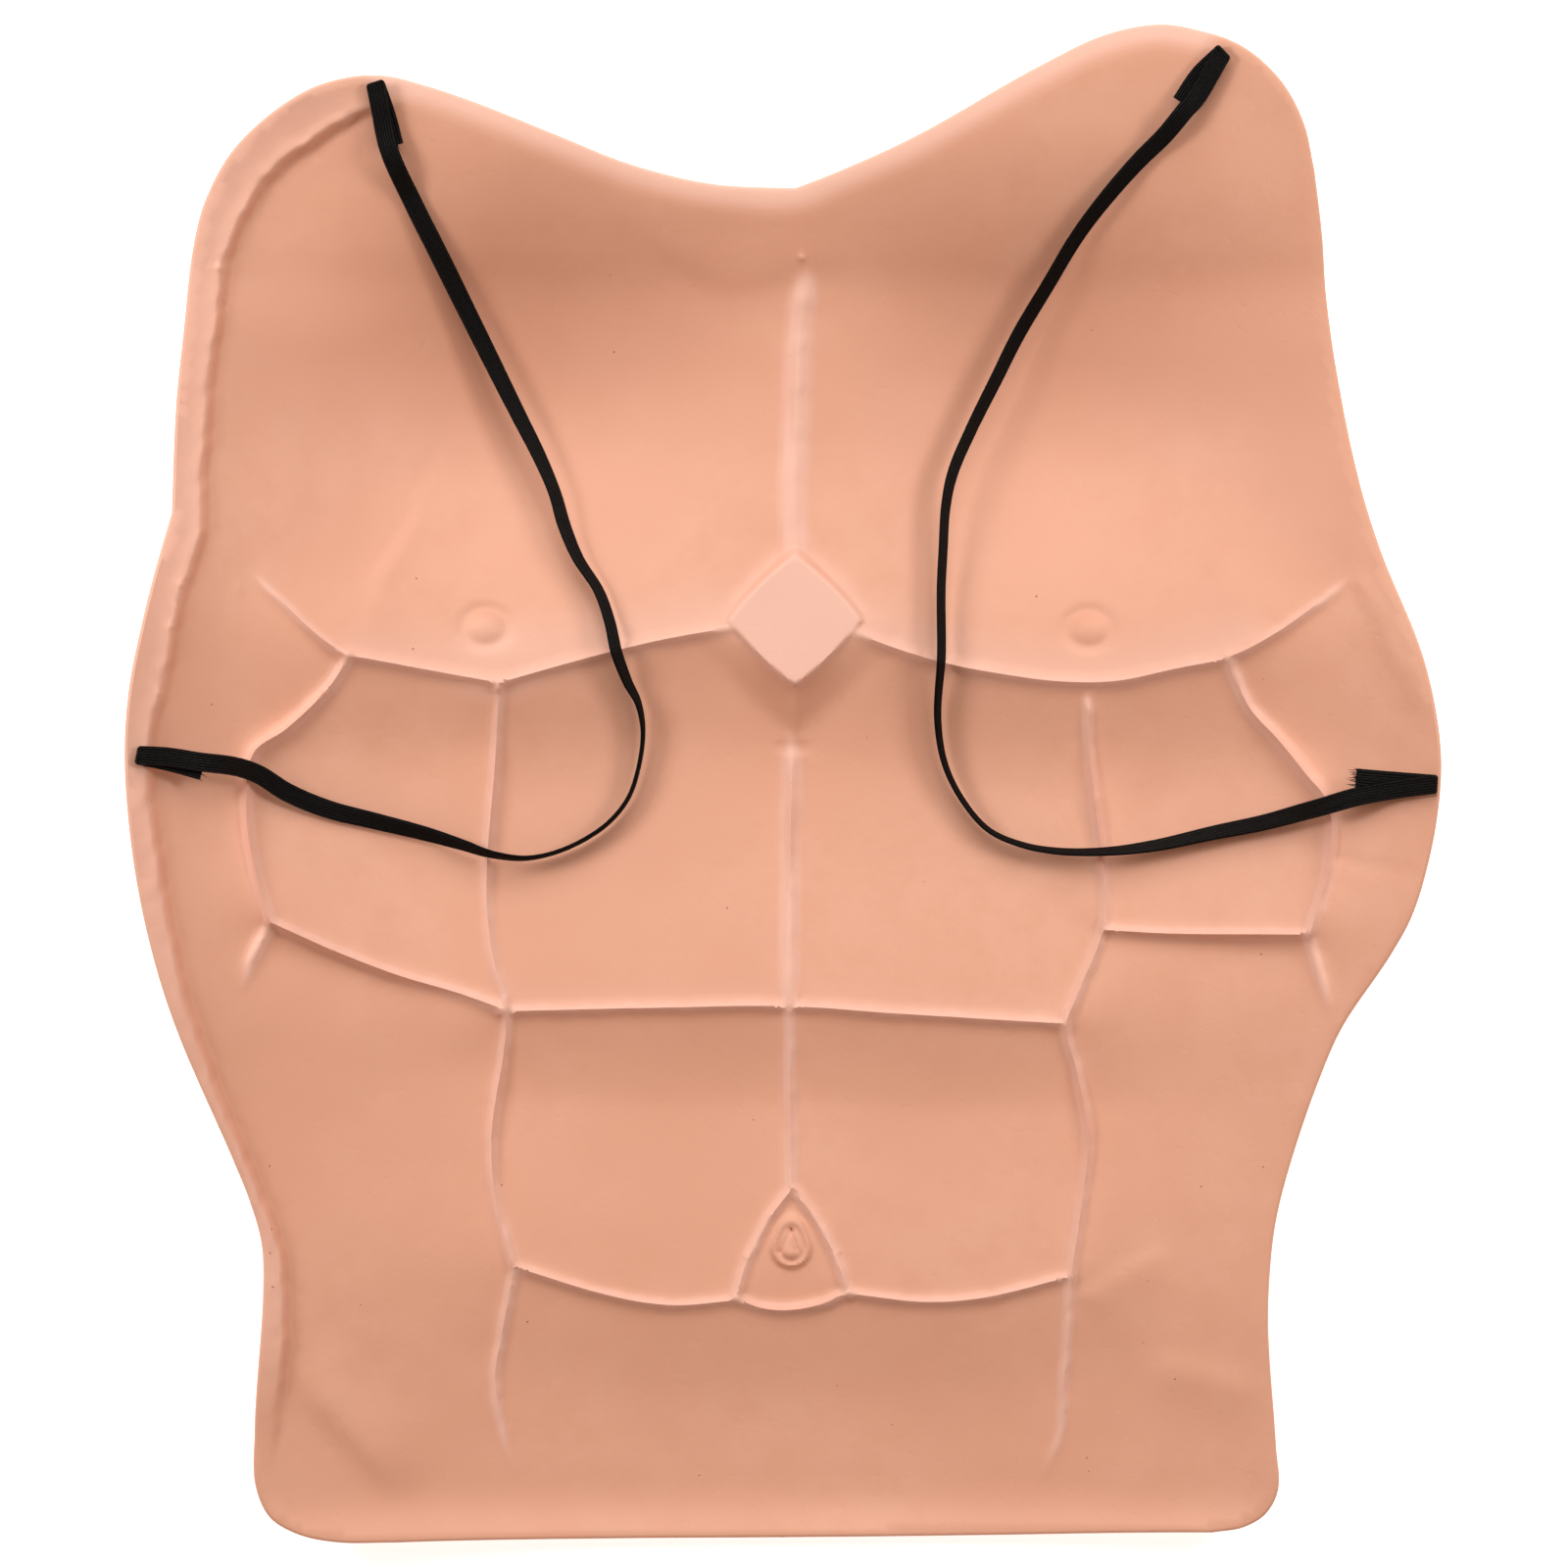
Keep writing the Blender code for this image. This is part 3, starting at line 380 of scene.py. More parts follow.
def plateau_reach(x, y):
    """How far out a point is from the diamond's centre, with 1 at its edge, and how far above it."""
    dx, dy = x - PLATEAU_CENTRE[0], y - PLATEAU_CENTRE[1]
    total = np.abs(dx) ** PLATEAU_POWER + np.abs(dy) ** PLATEAU_POWER
    return total ** (1 / PLATEAU_POWER) / PLATEAU_REACH, dy


def plateau(x, y, z):
    """The flat diamond where the pecs meet the belly, with a skirt that slopes down below it."""
    corner, dy = plateau_reach(x, y)
    rise = np.maximum(PLATEAU_HEIGHT - z, 0)
    skirt = 0.72 * np.clip((1.75 - corner) / 0.75, 0, 1) ** 1.4 * ramp(0.5 - dy / 16)
    return z + rise * np.maximum(ramp((1.16 - corner) / 0.2), skirt)


def edge_shape(x, y):
    """The raised border down the left side and the roll along the neck."""
    away, side, along, length = nearest(BORDER_LINE, x, y)
    outwards = -away * side + BORDER_WANDER * crooked(along, 1.3)
    fade = ramp(along / 25) * ramp((length - along) / 40)
    step = STEP_HEIGHT * ramp(0.5 + outwards / STEP_WIDTH)
    bead = STEP_BEAD * np.exp(-((outwards - 1.6) / 1.3) ** 2)
    foot = STEP_FOOT * np.exp(-((outwards + 1.9) / 1.3) ** 2)
    z = (step + bead - foot) * fade
    away = nearest(NECK_LINE, x, y)[0]
    return z - NECK_SLOPE * np.clip(NECK_BAND - away, 0, None) ** 2 / (2 * NECK_BAND)


def outside(x, y):
    """Height of the panel's outer, lower skin: the same form one foam thickness down, with the
    creases as wide grooves. It is pressed flat where it rests on the ground."""
    step = 1.0
    broad, sharp = crease_shape(x, y)
    slope_x = (body_shape(x + step, y) - body_shape(x - step, y)) / (2 * step)
    slope_y = (body_shape(x, y + step) - body_shape(x, y - step)) / (2 * step)
    form = plateau(x, y, body_shape(x, y) + broad + 0.6 * sharp + 0.5 * edge_shape(x, y))
    return np.maximum(form - FOAM * np.sqrt(1 + slope_x**2 + slope_y**2), 0.0)


def waves(x, y, size, seed):
    """Gentle unevenness between about -1 and 1, with bumps of the given size."""
    return np.array([noise.noise(Vector((a / size, b / size, seed))) for a, b in zip(x, y)])


def ridge(x, y, points, height, left, right, fade=8.0):
    """A raised line that falls away over different widths on its left and right."""
    away, side, along, length = nearest(smooth(points, 3.0), x, y)
    width = np.where(side > 0, left, right)
    return height * np.exp(-(away / width) ** 2) * ramp(along / fade) * ramp((length - along) / fade)


def nipple_shape(x, y):
    """A soft oval groove round a low bump, at each nipple."""
    z = np.zeros(x.shape)
    for cx, cy in NIPPLES:
        r = np.hypot((x - cx) / 8.8, (y - cy) / 7.4)
        z = z - 1.0 * np.exp(-((r - 0.80) / 0.26) ** 2)
        z = z + 0.8 * np.exp(-(np.hypot((x - cx) / 5.0, (y - cy) / 3.8)) ** 2)
    return z


def navel_shape(x, y):
    """A raised drop inside the navel's frame, with an arrow of thin grooves in it."""
    dx, dy = x - NAVEL[0], y - NAVEL[1]
    r = np.hypot(dx, dy)
    upward = np.maximum(dy / np.maximum(r, 1e-6), 0)
    q = r / (6.6 * (1 + 0.6 * upward**5))
    z = 1.9 * ramp((1.12 - q) / 0.34) - 0.9 * np.exp(-((q - 0.62) / 0.16) ** 2)
    for tip in ((-1.4, -150.6), (4.2, -150.2)):
        line = np.array([(2.4, -143.6), tip])
        z = z - 0.9 * np.exp(-(nearest(line, x, y)[0] / 0.55) ** 2)
    return z + 0.7 * np.exp(-(np.hypot(dx, (dy + 1.6) * 0.9) / 1.7) ** 2)


def worn_shape(x, y):
    """Folds and dents that the foam has taken, and burrs left by the mould."""
    fold = [(-158, -180), (-150, -191), (-143.8, -200.5), (-133, -213), (-119, -232)]
    z = ridge(x, y, fold, 2.6, 12, 5, 24)
    z = z + ridge(x, y, [(93, -168), (107, -159), (125, -149.6)], 0.9, 3, 9)
    z = z + ridge(x, y, [(112, -186), (134, -190), (156, -198)], 1.0, 5, 9, 14)
    z = z + ridge(x, y, [(-58, 186), (-38, 173), (-19, 162), (4, 166), (22, 172)], 0.8, 12, 4, 20)
    z = z + ridge(x, y, [(178, 68), (185.5, 56), (190.5, 43.5), (196.5, 31.5), (201, 20)], 0.7, 3, 1.6)
    z = z - ridge(x, y, [(171, -23), (186, -26), (202, -29.5)], 0.5, 1.4, 1.4)
    z = z - ridge(x, y, [(-181, 185.5), (-175, 185), (-168.5, 185.2)], 0.5, 0.5, 0.5, 1.5)
    z = z + ridge(x, y, [(2.4, 29), (2.6, 11)], 1.1, 2.8, 2.8, 6)
    z = z - ridge(x, y, [(-5, 11.8), (11, 11.4)], 0.7, 1.0, 1.0, 3)
    z = z + ridge(x, y, [(-172.2, 65), (-173.5, 56), (-173, 46)], 0.6, 1.0, 1.0, 4)
    for cx, cy, size, height in BURRS:
        z = z + height * np.exp(-(np.hypot(x - cx, y - cy) / size) ** 2)
    return z


def inside(x, y):
    """Height of the panel's inner, upper skin, with every fine detail."""
    broad, sharp = crease_shape(x, y)
    z = plateau(x, y, body_shape(x, y) + broad + sharp + edge_shape(x, y))
    z = z + nipple_shape(x, y) + navel_shape(x, y) + worn_shape(x, y)
    return z + 0.35 * waves(x, y, 45, 3.1) + 0.12 * waves(x, y, 14, 7.7)


def pale_and_highlight_mask(x, y):
    """1 where the foam is paler, partly stretched and partly a painted highlight on raised tops: on the
    creases, the diamond, the border and the neck.
    """
    broad, sharp = crease_shape(x, y)
    crest = np.maximum(ramp(sharp / 0.9), 0.7 * ramp((broad - 5.2) / 2.4))
    corner, dy = plateau_reach(x, y)
    diamond_top = 1.25 * ramp((1.12 - corner) / 0.14)
    above_diamond = 0.75 * ramp((1.55 - corner) / 0.5) * ramp(0.5 + dy / 10)
    away, side, along, length = nearest(BORDER_LINE, x, y)
    border = 0.6 * ramp((0.6 - away * side) / 1.6) * ramp(along / 25) * ramp((length - along) / 60)
    neck = ramp((9 - nearest(NECK_LINE, x, y)[0]) / 6)
    return np.max([crest, diamond_top, above_diamond, border, neck], axis=0)


def painted_shade_mask(x, y):
    """1 where painted shade darkens and enriches the foam's colour, for the slopes that face away from
    the light high in the chest.
    """
    return np.max([share * dome(x, y, centre, radii) for centre, radii, share in PAINTED_SHADE_PATCHES], axis=0)


# ---------------------------------------------------------------- ribbons: straps and pads
def unit(vectors):
    """The same directions, one long each."""
    return vectors / np.linalg.norm(vectors, axis=-1, keepdims=True)


def resample(path, step):
    """The path at even steps. Its columns are x, y, z and the lean that goes with them."""
    run = distances(path[:, :3])
    marks = np.linspace(0, run[-1], max(3, round(run[-1] / step) + 1))
    return np.stack([np.interp(marks, run, column) for column in path.T], axis=1)


def ground_under(line, radius):
    """The highest foam under a strap, which bends into hollows no tighter than the radius."""
    heading = unit(np.gradient(line, axis=0))
    sideways = np.stack([heading[:, 1], -heading[:, 0]], axis=1)
    offsets = (-STRAP_WIDTH / 2, 0, STRAP_WIDTH / 2)
    ground = np.max([inside(*(line + offset * sideways).T) for offset in offsets], axis=0)
    run = distances(line)
    gaps = run[:, None] - run[None, :]
    bend = gaps**2 / (2 * radius)
    bridged = np.max(ground[None, :] - bend, axis=1)
    bridged = np.min(bridged[None, :] + bend, axis=1)
    weight = np.exp(-(gaps / EASING) ** 2)
    eased = weight @ bridged / weight.sum(axis=1)
    return np.maximum(eased, bridged - EASING_SINK)


def tail_path(points, lift=TAIL_LIFT):
    """The middle line of what is glued down, from the fold to the cut end."""
    line = smooth(points, 1.0)
    return np.column_stack([line, ground_under(line, GLUED_RADIUS) + lift, np.zeros(len(line))])


def run_path(route, start_tail, end_tail):
    """The middle line of a strap's free run, over both its tails and resting on the foam."""
    line = smooth(route, 1.0)
    run = distances(line[:, :2])
    z = ground_under(line[:, :2], BRIDGE_RADIUS) + CLEARANCE + STRAP_THICKNESS / 2 + line[:, 2]
    z += STRAP_WIDTH / 2 * np.sin(np.radians(line[:, 3]))
    for tail, from_fold in ((start_tail, run), (end_tail, run[-1] - run)):
        length = distances(tail[:, :2])
        over = np.interp(from_fold, length, tail[:, 2]) + STRAP_THICKNESS + LAYER_GAP
        over += LAYER_SPREAD * from_fold
        # It is held up along nine tenths of the tail, and let go gradually beyond that.
        z += np.maximum(over - z, 0) * ramp(1.9 - from_fold / length[-1])
    return np.column_stack([line[:, :2], z, line[:, 3]])


def frames(path):
    """Each vertex of a path with the ribbon's width and thickness directions there."""
    heading = unit(np.gradient(path[:, :3], axis=0))
    x, y = path[:, 0], path[:, 1]
    reach = 3.0
    slope_x = (body_shape(x + reach, y) - body_shape(x - reach, y)) / (2 * reach)
    slope_y = (body_shape(x, y + reach) - body_shape(x, y - reach)) / (2 * reach)
    up = np.stack([-slope_x, -slope_y, np.ones(x.shape)], axis=1)
    level = unit(np.cross(heading, up))
    above = np.cross(level, heading)
    lean = np.radians(path[:, 3])[:, None]
    wide = level * np.cos(lean) + above * np.sin(lean)
    thick = above * np.cos(lean) - level * np.sin(lean)
    return list(zip(path[:, :3], wide, thick))


def fold(tail, run):
    """Frames of the half turn from a tail's fold end up to the run that lies over it."""
    (low, wide, _), (high, _, _) = tail[0], run[0]
    outward = unit(low - tail[1][0])
    up = unit(high - low)
    made = []
    for turn in np.radians(np.arange(-80, 81, 10)):
        radial = math.cos(turn) * outward + math.sin(turn) * up
        pinched = wide * (1 - FOLD_PINCH * math.cos(turn) ** 2)
        made.append(((low + high) / 2 + np.linalg.norm(high - low) / 2 * radial, pinched, radial))
    return made


def section():
    """The strap's cross-section: ribs across both faces, and round edges."""
    half = STRAP_WIDTH / 2 - STRAP_THICKNESS / 2
    across = np.linspace(-half, half, STRAP_RIBS * 4 + 1)
    rib = np.abs(np.sin(math.pi * STRAP_RIBS * (across + half) / (2 * half))) ** 0.7
    height = STRAP_THICKNESS / 2 - RIB_DEPTH * (1 - rib)
    turns = np.radians((-60, -30, 0, 30, 60))
    side = STRAP_THICKNESS / 2 * np.stack([np.cos(turns), np.sin(turns)], axis=1) + (half, 0)
    top = np.stack([across[::-1], height[::-1]], axis=1)
    return np.vstack([side, top, -side, -top])


def make_strap(name, ribbon, material, threads=0):
    """A closed ribbed band through the frames, with its length and width as its UV map. Threads are
    the loose ones at its first, cut end."""
    shape = bmesh.new()
    layer = shape.loops.layers.uv.new("along")
    profile = section()
    run = distances(np.array([middle for middle, _, _ in ribbon]))
    sections = []
    for middle, wide, thick in ribbon:
        points = middle + profile[:, :1] * wide + profile[:, 1:] * thick
        sections.append([shape.verts.new(point) for point in points])
    for number, (here, there) in enumerate(zip(sections, sections[1:])):
        for index, _ in enumerate(profile):
            after = (index + 1) % len(profile)
            face = shape.faces.new((here[index], here[after], there[after], there[index]))
            marks = ((number, index), (number, after), (number + 1, after), (number + 1, index))
            for loop, (station, corner) in zip(face.loops, marks):
                loop[layer].uv = (run[station] * MM, profile[corner, 0] * MM)
    shape.faces.new(sections[0])
    shape.faces.new(sections[-1])
    add_fray(shape, ribbon, threads)
    bmesh.ops.recalc_face_normals(shape, faces=shape.faces)
    return finish_mesh(shape, name, material, smooth_angle=60)


def add_fray(shape, ribbon, count):
    """Loose threads at the ribbon's cut end, each a thin closed spike."""
    chance = random.Random(7)
    (middle, wide, thick), (before, _, _) = ribbon[0], ribbon[1]
    heading = unit(middle - before)
    for _ in range(count):
        root = middle + chance.uniform(-2.7, 2.7) * wide + chance.uniform(-0.3, 0.3) * thick
        tip = root + chance.uniform(*THREAD_REACH) * heading + chance.uniform(-1.0, 1.0) * wide
        base = []
        for turn in np.radians((0, 120, 240)):
            spoke = math.cos(turn) * wide + math.sin(turn) * thick
            base.append(shape.verts.new(root - THREAD_ROOT * heading + THREAD_RADIUS * spoke))
        end = shape.verts.new(tip)
        shape.faces.new(base)
        for here, there in zip(base, base[1:] + base[:1]):
            shape.faces.new((here, there, end))


def make_side(side, route, shoulder_points, side_points, material):
    """One strap: its free run, and the folded end that is glued down at each end of it."""
    shoulder_path, side_path = tail_path(shoulder_points), tail_path(side_points)
    path = resample(run_path(route, shoulder_path, side_path), STRAP_STEP)
    run = frames(path)
    ends = []
    for place, tail, along in (("shoulder", shoulder_path, run), ("side", side_path, run[::-1])):
        flat = [(middle, wide, -thick) for middle, wide, thick in frames(resample(tail, STRAP_STEP))]
        if place == "side":
            flat = [(middle, -wide, thick) for middle, wide, thick in flat]
        end = make_strap(f"{side}_{place}_fold", flat[::-1] + fold(flat, along), material,
                         THREADS[side, place])
        ends.append(end)
    strap = make_strap(f"{side}_elastic_strap", run, material)
    for piece in (strap, *ends):
        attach(piece, "root")
        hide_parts(f"{side}_strap")


# ---------------------------------------------------------------- the panel's mesh
def outline():
    """The cut edge as one closed ring of vertices."""
    runs = (NECK_LEFT, LEFT_SIDE, BOTTOM, RIGHT_SIDE, NECK_RIGHT)
    return np.vstack([smooth(run, EDGE_STEP)[:-1] for run in runs])


def inset(ring, distance):
    """The ring moved inwards. It runs anticlockwise, so inwards is to the left."""
    heading = unit(np.roll(ring, -1, axis=0) - np.roll(ring, 1, axis=0))
    return ring + distance * np.stack([-heading[:, 1], heading[:, 0]], axis=1)


def rows_along(points, offsets, step):
    """Vertices in parallel rows along a line."""
    line = smooth(points, step)
    heading = unit(np.gradient(line, axis=0))
    left = np.stack([-heading[:, 1], heading[:, 0]], axis=1)
    return np.vstack([line + offset * left for offset in offsets])


def rings(centre, radii, step):
    """Vertices in rings round a centre."""
    made = [np.array([centre])]
    for radius in radii:
        turns = np.arange(0, 1, 1 / max(8, round(2 * math.pi * radius / step))) * 2 * math.pi
        made.append(np.array(centre) + radius * np.stack([np.cos(turns), np.sin(turns)], axis=1))
    return np.vstack(made)


def diamond(reach, step):
    """Vertices round the plateau at a given reach."""
    corners = reach * np.array([(0, 1), (-1, 0), (0, -1), (1, 0), (0, 1)])
    count = round(reach * math.sqrt(2) / step)
    line = [here + t * (there - here) for here, there in zip(corners, corners[1:])
            for t in np.arange(count) / count]
    return np.array(PLATEAU_CENTRE) + np.array(line)


def grid(centre, reach, step):
    """A square patch of vertices."""
    steps = np.arange(-reach, reach + step / 2, step)
    x, y = np.meshgrid(steps, steps)
    return np.array(centre) + np.stack([x.ravel(), y.ravel()], axis=1)


def field(step):
    """Staggered vertices all over the panel."""
    rows = np.arange(-250, 250, step * math.sqrt(3) / 2)
    return np.array([(x + 0.5 * step * (number % 2), y) for number, y in enumerate(rows)
                     for x in np.arange(-212, 212, step)])


def spaced(groups, start):
    """Add each group's points that are further than its gap from every point already there."""
    cell = 3.0
    cells = {}
    kept = []
    for points, gap in [(start, 0.0)] + groups:
        for x, y in np.asarray(points).tolist():
            column, row = math.floor(x / cell), math.floor(y / cell)
            near = [other for i in (-1, 0, 1) for j in (-1, 0, 1)
                    for other in cells.get((column + i, row + j), ())]
            if all((x - a) ** 2 + (y - b) ** 2 > gap * gap for a, b in near):
                cells.setdefault((column, row), []).append((x, y))
                kept.append((x, y))
    return np.array(kept)


def inner_points(edge):
    """Vertices of the inner skin: close together wherever its shape turns quickly."""
    neck = smooth(NECK_RIGHT[1:] + NECK_LEFT[1:9], 2.2)
    crease_rows = [rows_along(item["points"], CREASE_ROWS, CREASE_STEP) for item in CREASES]
    far_rows = [rows_along(item["points"], (6, -6, 8, -8), 2.4) for item in CREASES]
    nipple_rings = [rings(centre, np.arange(1, 11.5, 1.0), 1.1) for centre in NIPPLES]
    plateau_rings = [diamond(PLATEAU_REACH * reach, 1.3) for reach in np.arange(0.88, 1.28, 0.045)]
    burr_grids = [grid((cx, cy), 1.8, 0.6) for cx, cy, _, _ in BURRS]
    groups = [
        (grid(NAVEL, 11, 0.7), 0.45),
        (np.vstack(nipple_rings), 0.7),
        (np.vstack(plateau_rings), 0.7),
        (np.vstack(burr_grids), 0.4),
        (rows_along(BORDER, (0, -0.5, 0.5, -1.1, 1.1, -1.8, 1.8, -3, 3), 1.6), 0.42),
        (np.vstack(crease_rows), 0.62),
        (rows_along(neck, (2, 3.5, 5, 7, 9, 11, 13, 15), 2.0), 1.1),
        (np.vstack(far_rows), 1.5),
        (field(FIELD_STEP), FIELD_GAP * FIELD_STEP),
    ]
    return spaced(groups, edge)


def outer_points(edge):
    """Vertices of the outer skin, whose grooves are wide and soft."""
    plateau_rings = [diamond(PLATEAU_REACH * reach, 3.0) for reach in (0.95, 1.08, 1.22)]
    rows = [rows_along(item["points"], (0, -1.8, 1.8, -4.2, 4.2), 3.0) for item in CREASES]
    groups = [
        (np.vstack(plateau_rings), 1.5),
        (np.vstack(rows), 1.4),
        (field(UNDER_STEP), FIELD_GAP * UNDER_STEP),
    ]
    return spaced(groups, edge)


def add_skin(shape, edge, points, height):
    """Triangles between the vertices, lifted to their height. Returns the edge's vertices."""
    ring = [(index, (index + 1) % len(edge)) for index in range(len(edge))]
    flat = delaunay_2d_cdt([Vector(point) for point in points], ring, [], 1, 1e-5)
    where = np.array(flat[0])
    levels = height(where[:, 0], where[:, 1])
    corners = [shape.verts.new((x, y, z)) for (x, y), z in zip(where, levels)]
    for triangle in flat[2]:
        shape.faces.new([corners[index] for index in triangle])
    sources = {source: index for index, origins in enumerate(flat[3]) for source in origins}
    return [corners[sources[index]] for index in range(len(edge))]


def bridge(shape, loops):
    """Faces between closed loops that have the same number of vertices."""
    for here, there in zip(loops, loops[1:]):
        for index, _ in enumerate(here):
            after = (index + 1) % len(here)
            shape.faces.new((here[index], here[after], there[after], there[index]))


def make_panel(material):
    """Two skins and the rounded cut edge between them."""
    shape = bmesh.new()
    cut = outline()
    shoulder = inset(cut, RIM_RADIUS)
    upper = add_skin(shape, shoulder, inner_points(shoulder), inside)
    lower = add_skin(shape, cut, outer_points(cut), outside)
    top = np.array([vertex.co.z for vertex in upper])
    loops = [upper]
    for turn in np.radians((30, 60, 90)):
        flat = inset(cut, RIM_RADIUS * (1 - math.sin(turn)))
        drop = RIM_RADIUS * (1 - math.cos(turn))
        loops.append([shape.verts.new((x, y, z)) for (x, y), z in zip(flat, top - drop)])
    bottom = np.array([vertex.co.z for vertex in lower])
    for share in (0.4, 0.8):
        level = (1 - share) * (top - RIM_RADIUS) + share * bottom
        loops.append([shape.verts.new((x, y, z)) for (x, y), z in zip(cut, level)])
    loops.append(lower)
    bridge(shape, loops)
    for loose in [vertex for vertex in shape.verts if not vertex.link_faces]:
        shape.verts.remove(loose)
    bmesh.ops.recalc_face_normals(shape, faces=shape.faces)
    co = np.array([vertex.co for vertex in shape.verts])
    panel = finish_mesh(shape, "foam_chest_panel", material, smooth_angle=50)
    # The first mask holds the paler crests with their painted highlight, the second the painted shade
    # high in the chest.
    for name, mask in (("pale_highlight", pale_and_highlight_mask), ("deep", painted_shade_mask)):
        values = mask(co[:, 0], co[:, 1])
        panel.data.attributes.new(name, "FLOAT", "POINT").data.foreach_set("value", values)
    return panel


# ---------------------------------------------------------------- objects and materials
def finish_mesh(shape, name, material, smooth_angle):
    """Turn geometry worked in millimetres into an object in metres."""
    bmesh.ops.translate(shape, vec=-Vector(ORIGIN), verts=shape.verts)
    bmesh.ops.scale(shape, vec=(MM, MM, MM), verts=shape.verts)
    mesh = bpy.data.meshes.new(name)
    shape.to_mesh(mesh)
    shape.free()
    mesh.shade_smooth()
    mesh.set_sharp_from_angle(angle=math.radians(smooth_angle))
    mesh.materials.append(material)
    made = bpy.data.objects.new(name, mesh)
    bpy.context.scene.collection.objects.link(made)
    return made


class Nodes:
    """A material's node tree, with short ways to add and join nodes."""

    def __init__(self, name):
        self.material = bpy.data.materials.new(name)
        self.material.use_nodes = True
        self.tree = self.material.node_tree
        self.shader = self.tree.nodes["Principled BSDF"]

    def add(self, kind, inputs=None, **settings):
        """A node with its settings and inputs. An input may be a value or another node's output."""
        node = self.tree.nodes.new(kind)
        for key, value in settings.items():
            setattr(node, key, value)
        for key, value in (inputs or {}).items():
            self.set(node.inputs[key], value)
        return node

    def set(self, socket, value):
        if isinstance(value, bpy.types.NodeSocket):
            self.tree.links.new(value, socket)
        else:
            socket.default_value = value

    def shade(self, **values):
        """Set the shader's sockets by name, with _ for a space."""
        for key, value in values.items():
            self.set(self.shader.inputs[key.replace("_", " ")], value)

    def place(self):
        """Where a point of the surface is, in metres."""
        return self.add("ShaderNodeTexCoord").outputs["Object"]

    def noise(self, size, detail=3.0, roughness=0.5, vector=None):
        """Noise from 0 to 1 whose blotches are about size metres wide."""
        node = self.add("ShaderNodeTexNoise", {"Vector": vector or self.place(), "Scale": 1 / size,
                                               "Detail": detail, "Roughness": roughness})
        return node.outputs["Fac"]

    def span(self, value, low, high, start=0.0, end=1.0):
        """Map low..high to start..end, and hold it beyond."""
        node = self.add("ShaderNodeMapRange", {"Value": value, "From Min": low, "From Max": high,
                                               "To Min": start, "To Max": end})
        return node.outputs["Result"]

    def mix(self, share, first, second):
        """Blend of two colours."""
        node = self.add("ShaderNodeMix", data_type="RGBA")
        self.set(node.inputs["Factor"], share)
        self.set(node.inputs["A"], first)
        self.set(node.inputs["B"], second)
        return node.outputs["Result"]

    def math(self, operation, first, second=0.0):
        node = self.add("ShaderNodeMath", operation=operation)
        self.set(node.inputs[0], first)
        self.set(node.inputs[1], second)
        return node.outputs["Value"]

    def bump(self, height, distance, strength=1.0, normal=None):
        """A bump whose full height is distance metres."""
        node = self.add("ShaderNodeBump", {"Height": height, "Distance": distance, "Strength": strength})
        if normal is not None:
            self.set(node.inputs["Normal"], normal)
        return node.outputs["Normal"]


def foam_material():
    """Peach EVA foam: a satin moulded skin, paler on the creases with a painted highlight, painted shade
    high in the chest, with pits and small specks.
    """
    m = Nodes("peach_eva_foam")
    blotches = m.span(m.noise(0.06, 2.0), 0.35, 0.65)
    colour = m.mix(blotches, (*FOAM_DEEP, 1), (*FOAM_BASE, 1))
    mottle = m.span(m.noise(0.014, 4.0, 0.65), 0.42, 0.66, 0.0, 0.8)
    colour = m.mix(mottle, colour, (*FOAM_DEEP, 1))
    # Painted shade: the foam's colour is darkened high in the chest, where the slopes face away from the
    # lights.
    deep = m.add("ShaderNodeAttribute", attribute_name="deep").outputs["Fac"]
    colour = m.mix(m.math("MULTIPLY", deep, 0.85), colour, (*FOAM_PAINTED_SHADE, 1))
    # Paler crests, diamond, border and neck roll: partly the foam's own tone, partly a painted highlight
    # on raised tops.
    pale_highlight = m.add("ShaderNodeAttribute", attribute_name="pale_highlight").outputs["Fac"]
    colour = m.mix(m.math("MULTIPLY", pale_highlight, 0.7), colour, (*FOAM_PALE_HIGHLIGHT, 1))
    cells = m.add("ShaderNodeTexVoronoi", {"Vector": m.place(), "Scale": 1 / 0.009})
    lone = m.span(m.add("ShaderNodeSeparateColor", {"Color": cells.outputs["Color"]}).outputs[0],
                  0.80, 0.81)
    dots = m.span(cells.outputs["Distance"], 0.024, 0.040, 1.0, 0.0)
    speck = m.math("MULTIPLY", lone, dots)
    colour = m.mix(m.math("MULTIPLY", speck, 0.6), colour, (*FOAM_SPECK, 1))
    grain = m.noise(0.0011, 3.0, 0.6)
    skin = m.bump(grain, 0.00003)
    pores = m.span(m.noise(0.0045, 2.0, 0.5), 0.30, 0.38)
    skin = m.bump(pores, 0.00003, normal=skin)
    skin = m.bump(speck, -0.00025, normal=skin)
    m.shade(Base_Color=colour, Roughness=m.span(m.noise(0.02), 0.3, 0.7, 0.50, 0.60), Normal=skin)
    m.shade(Specular_IOR_Level=0.45, Subsurface_Weight=0.0)
    return m.material


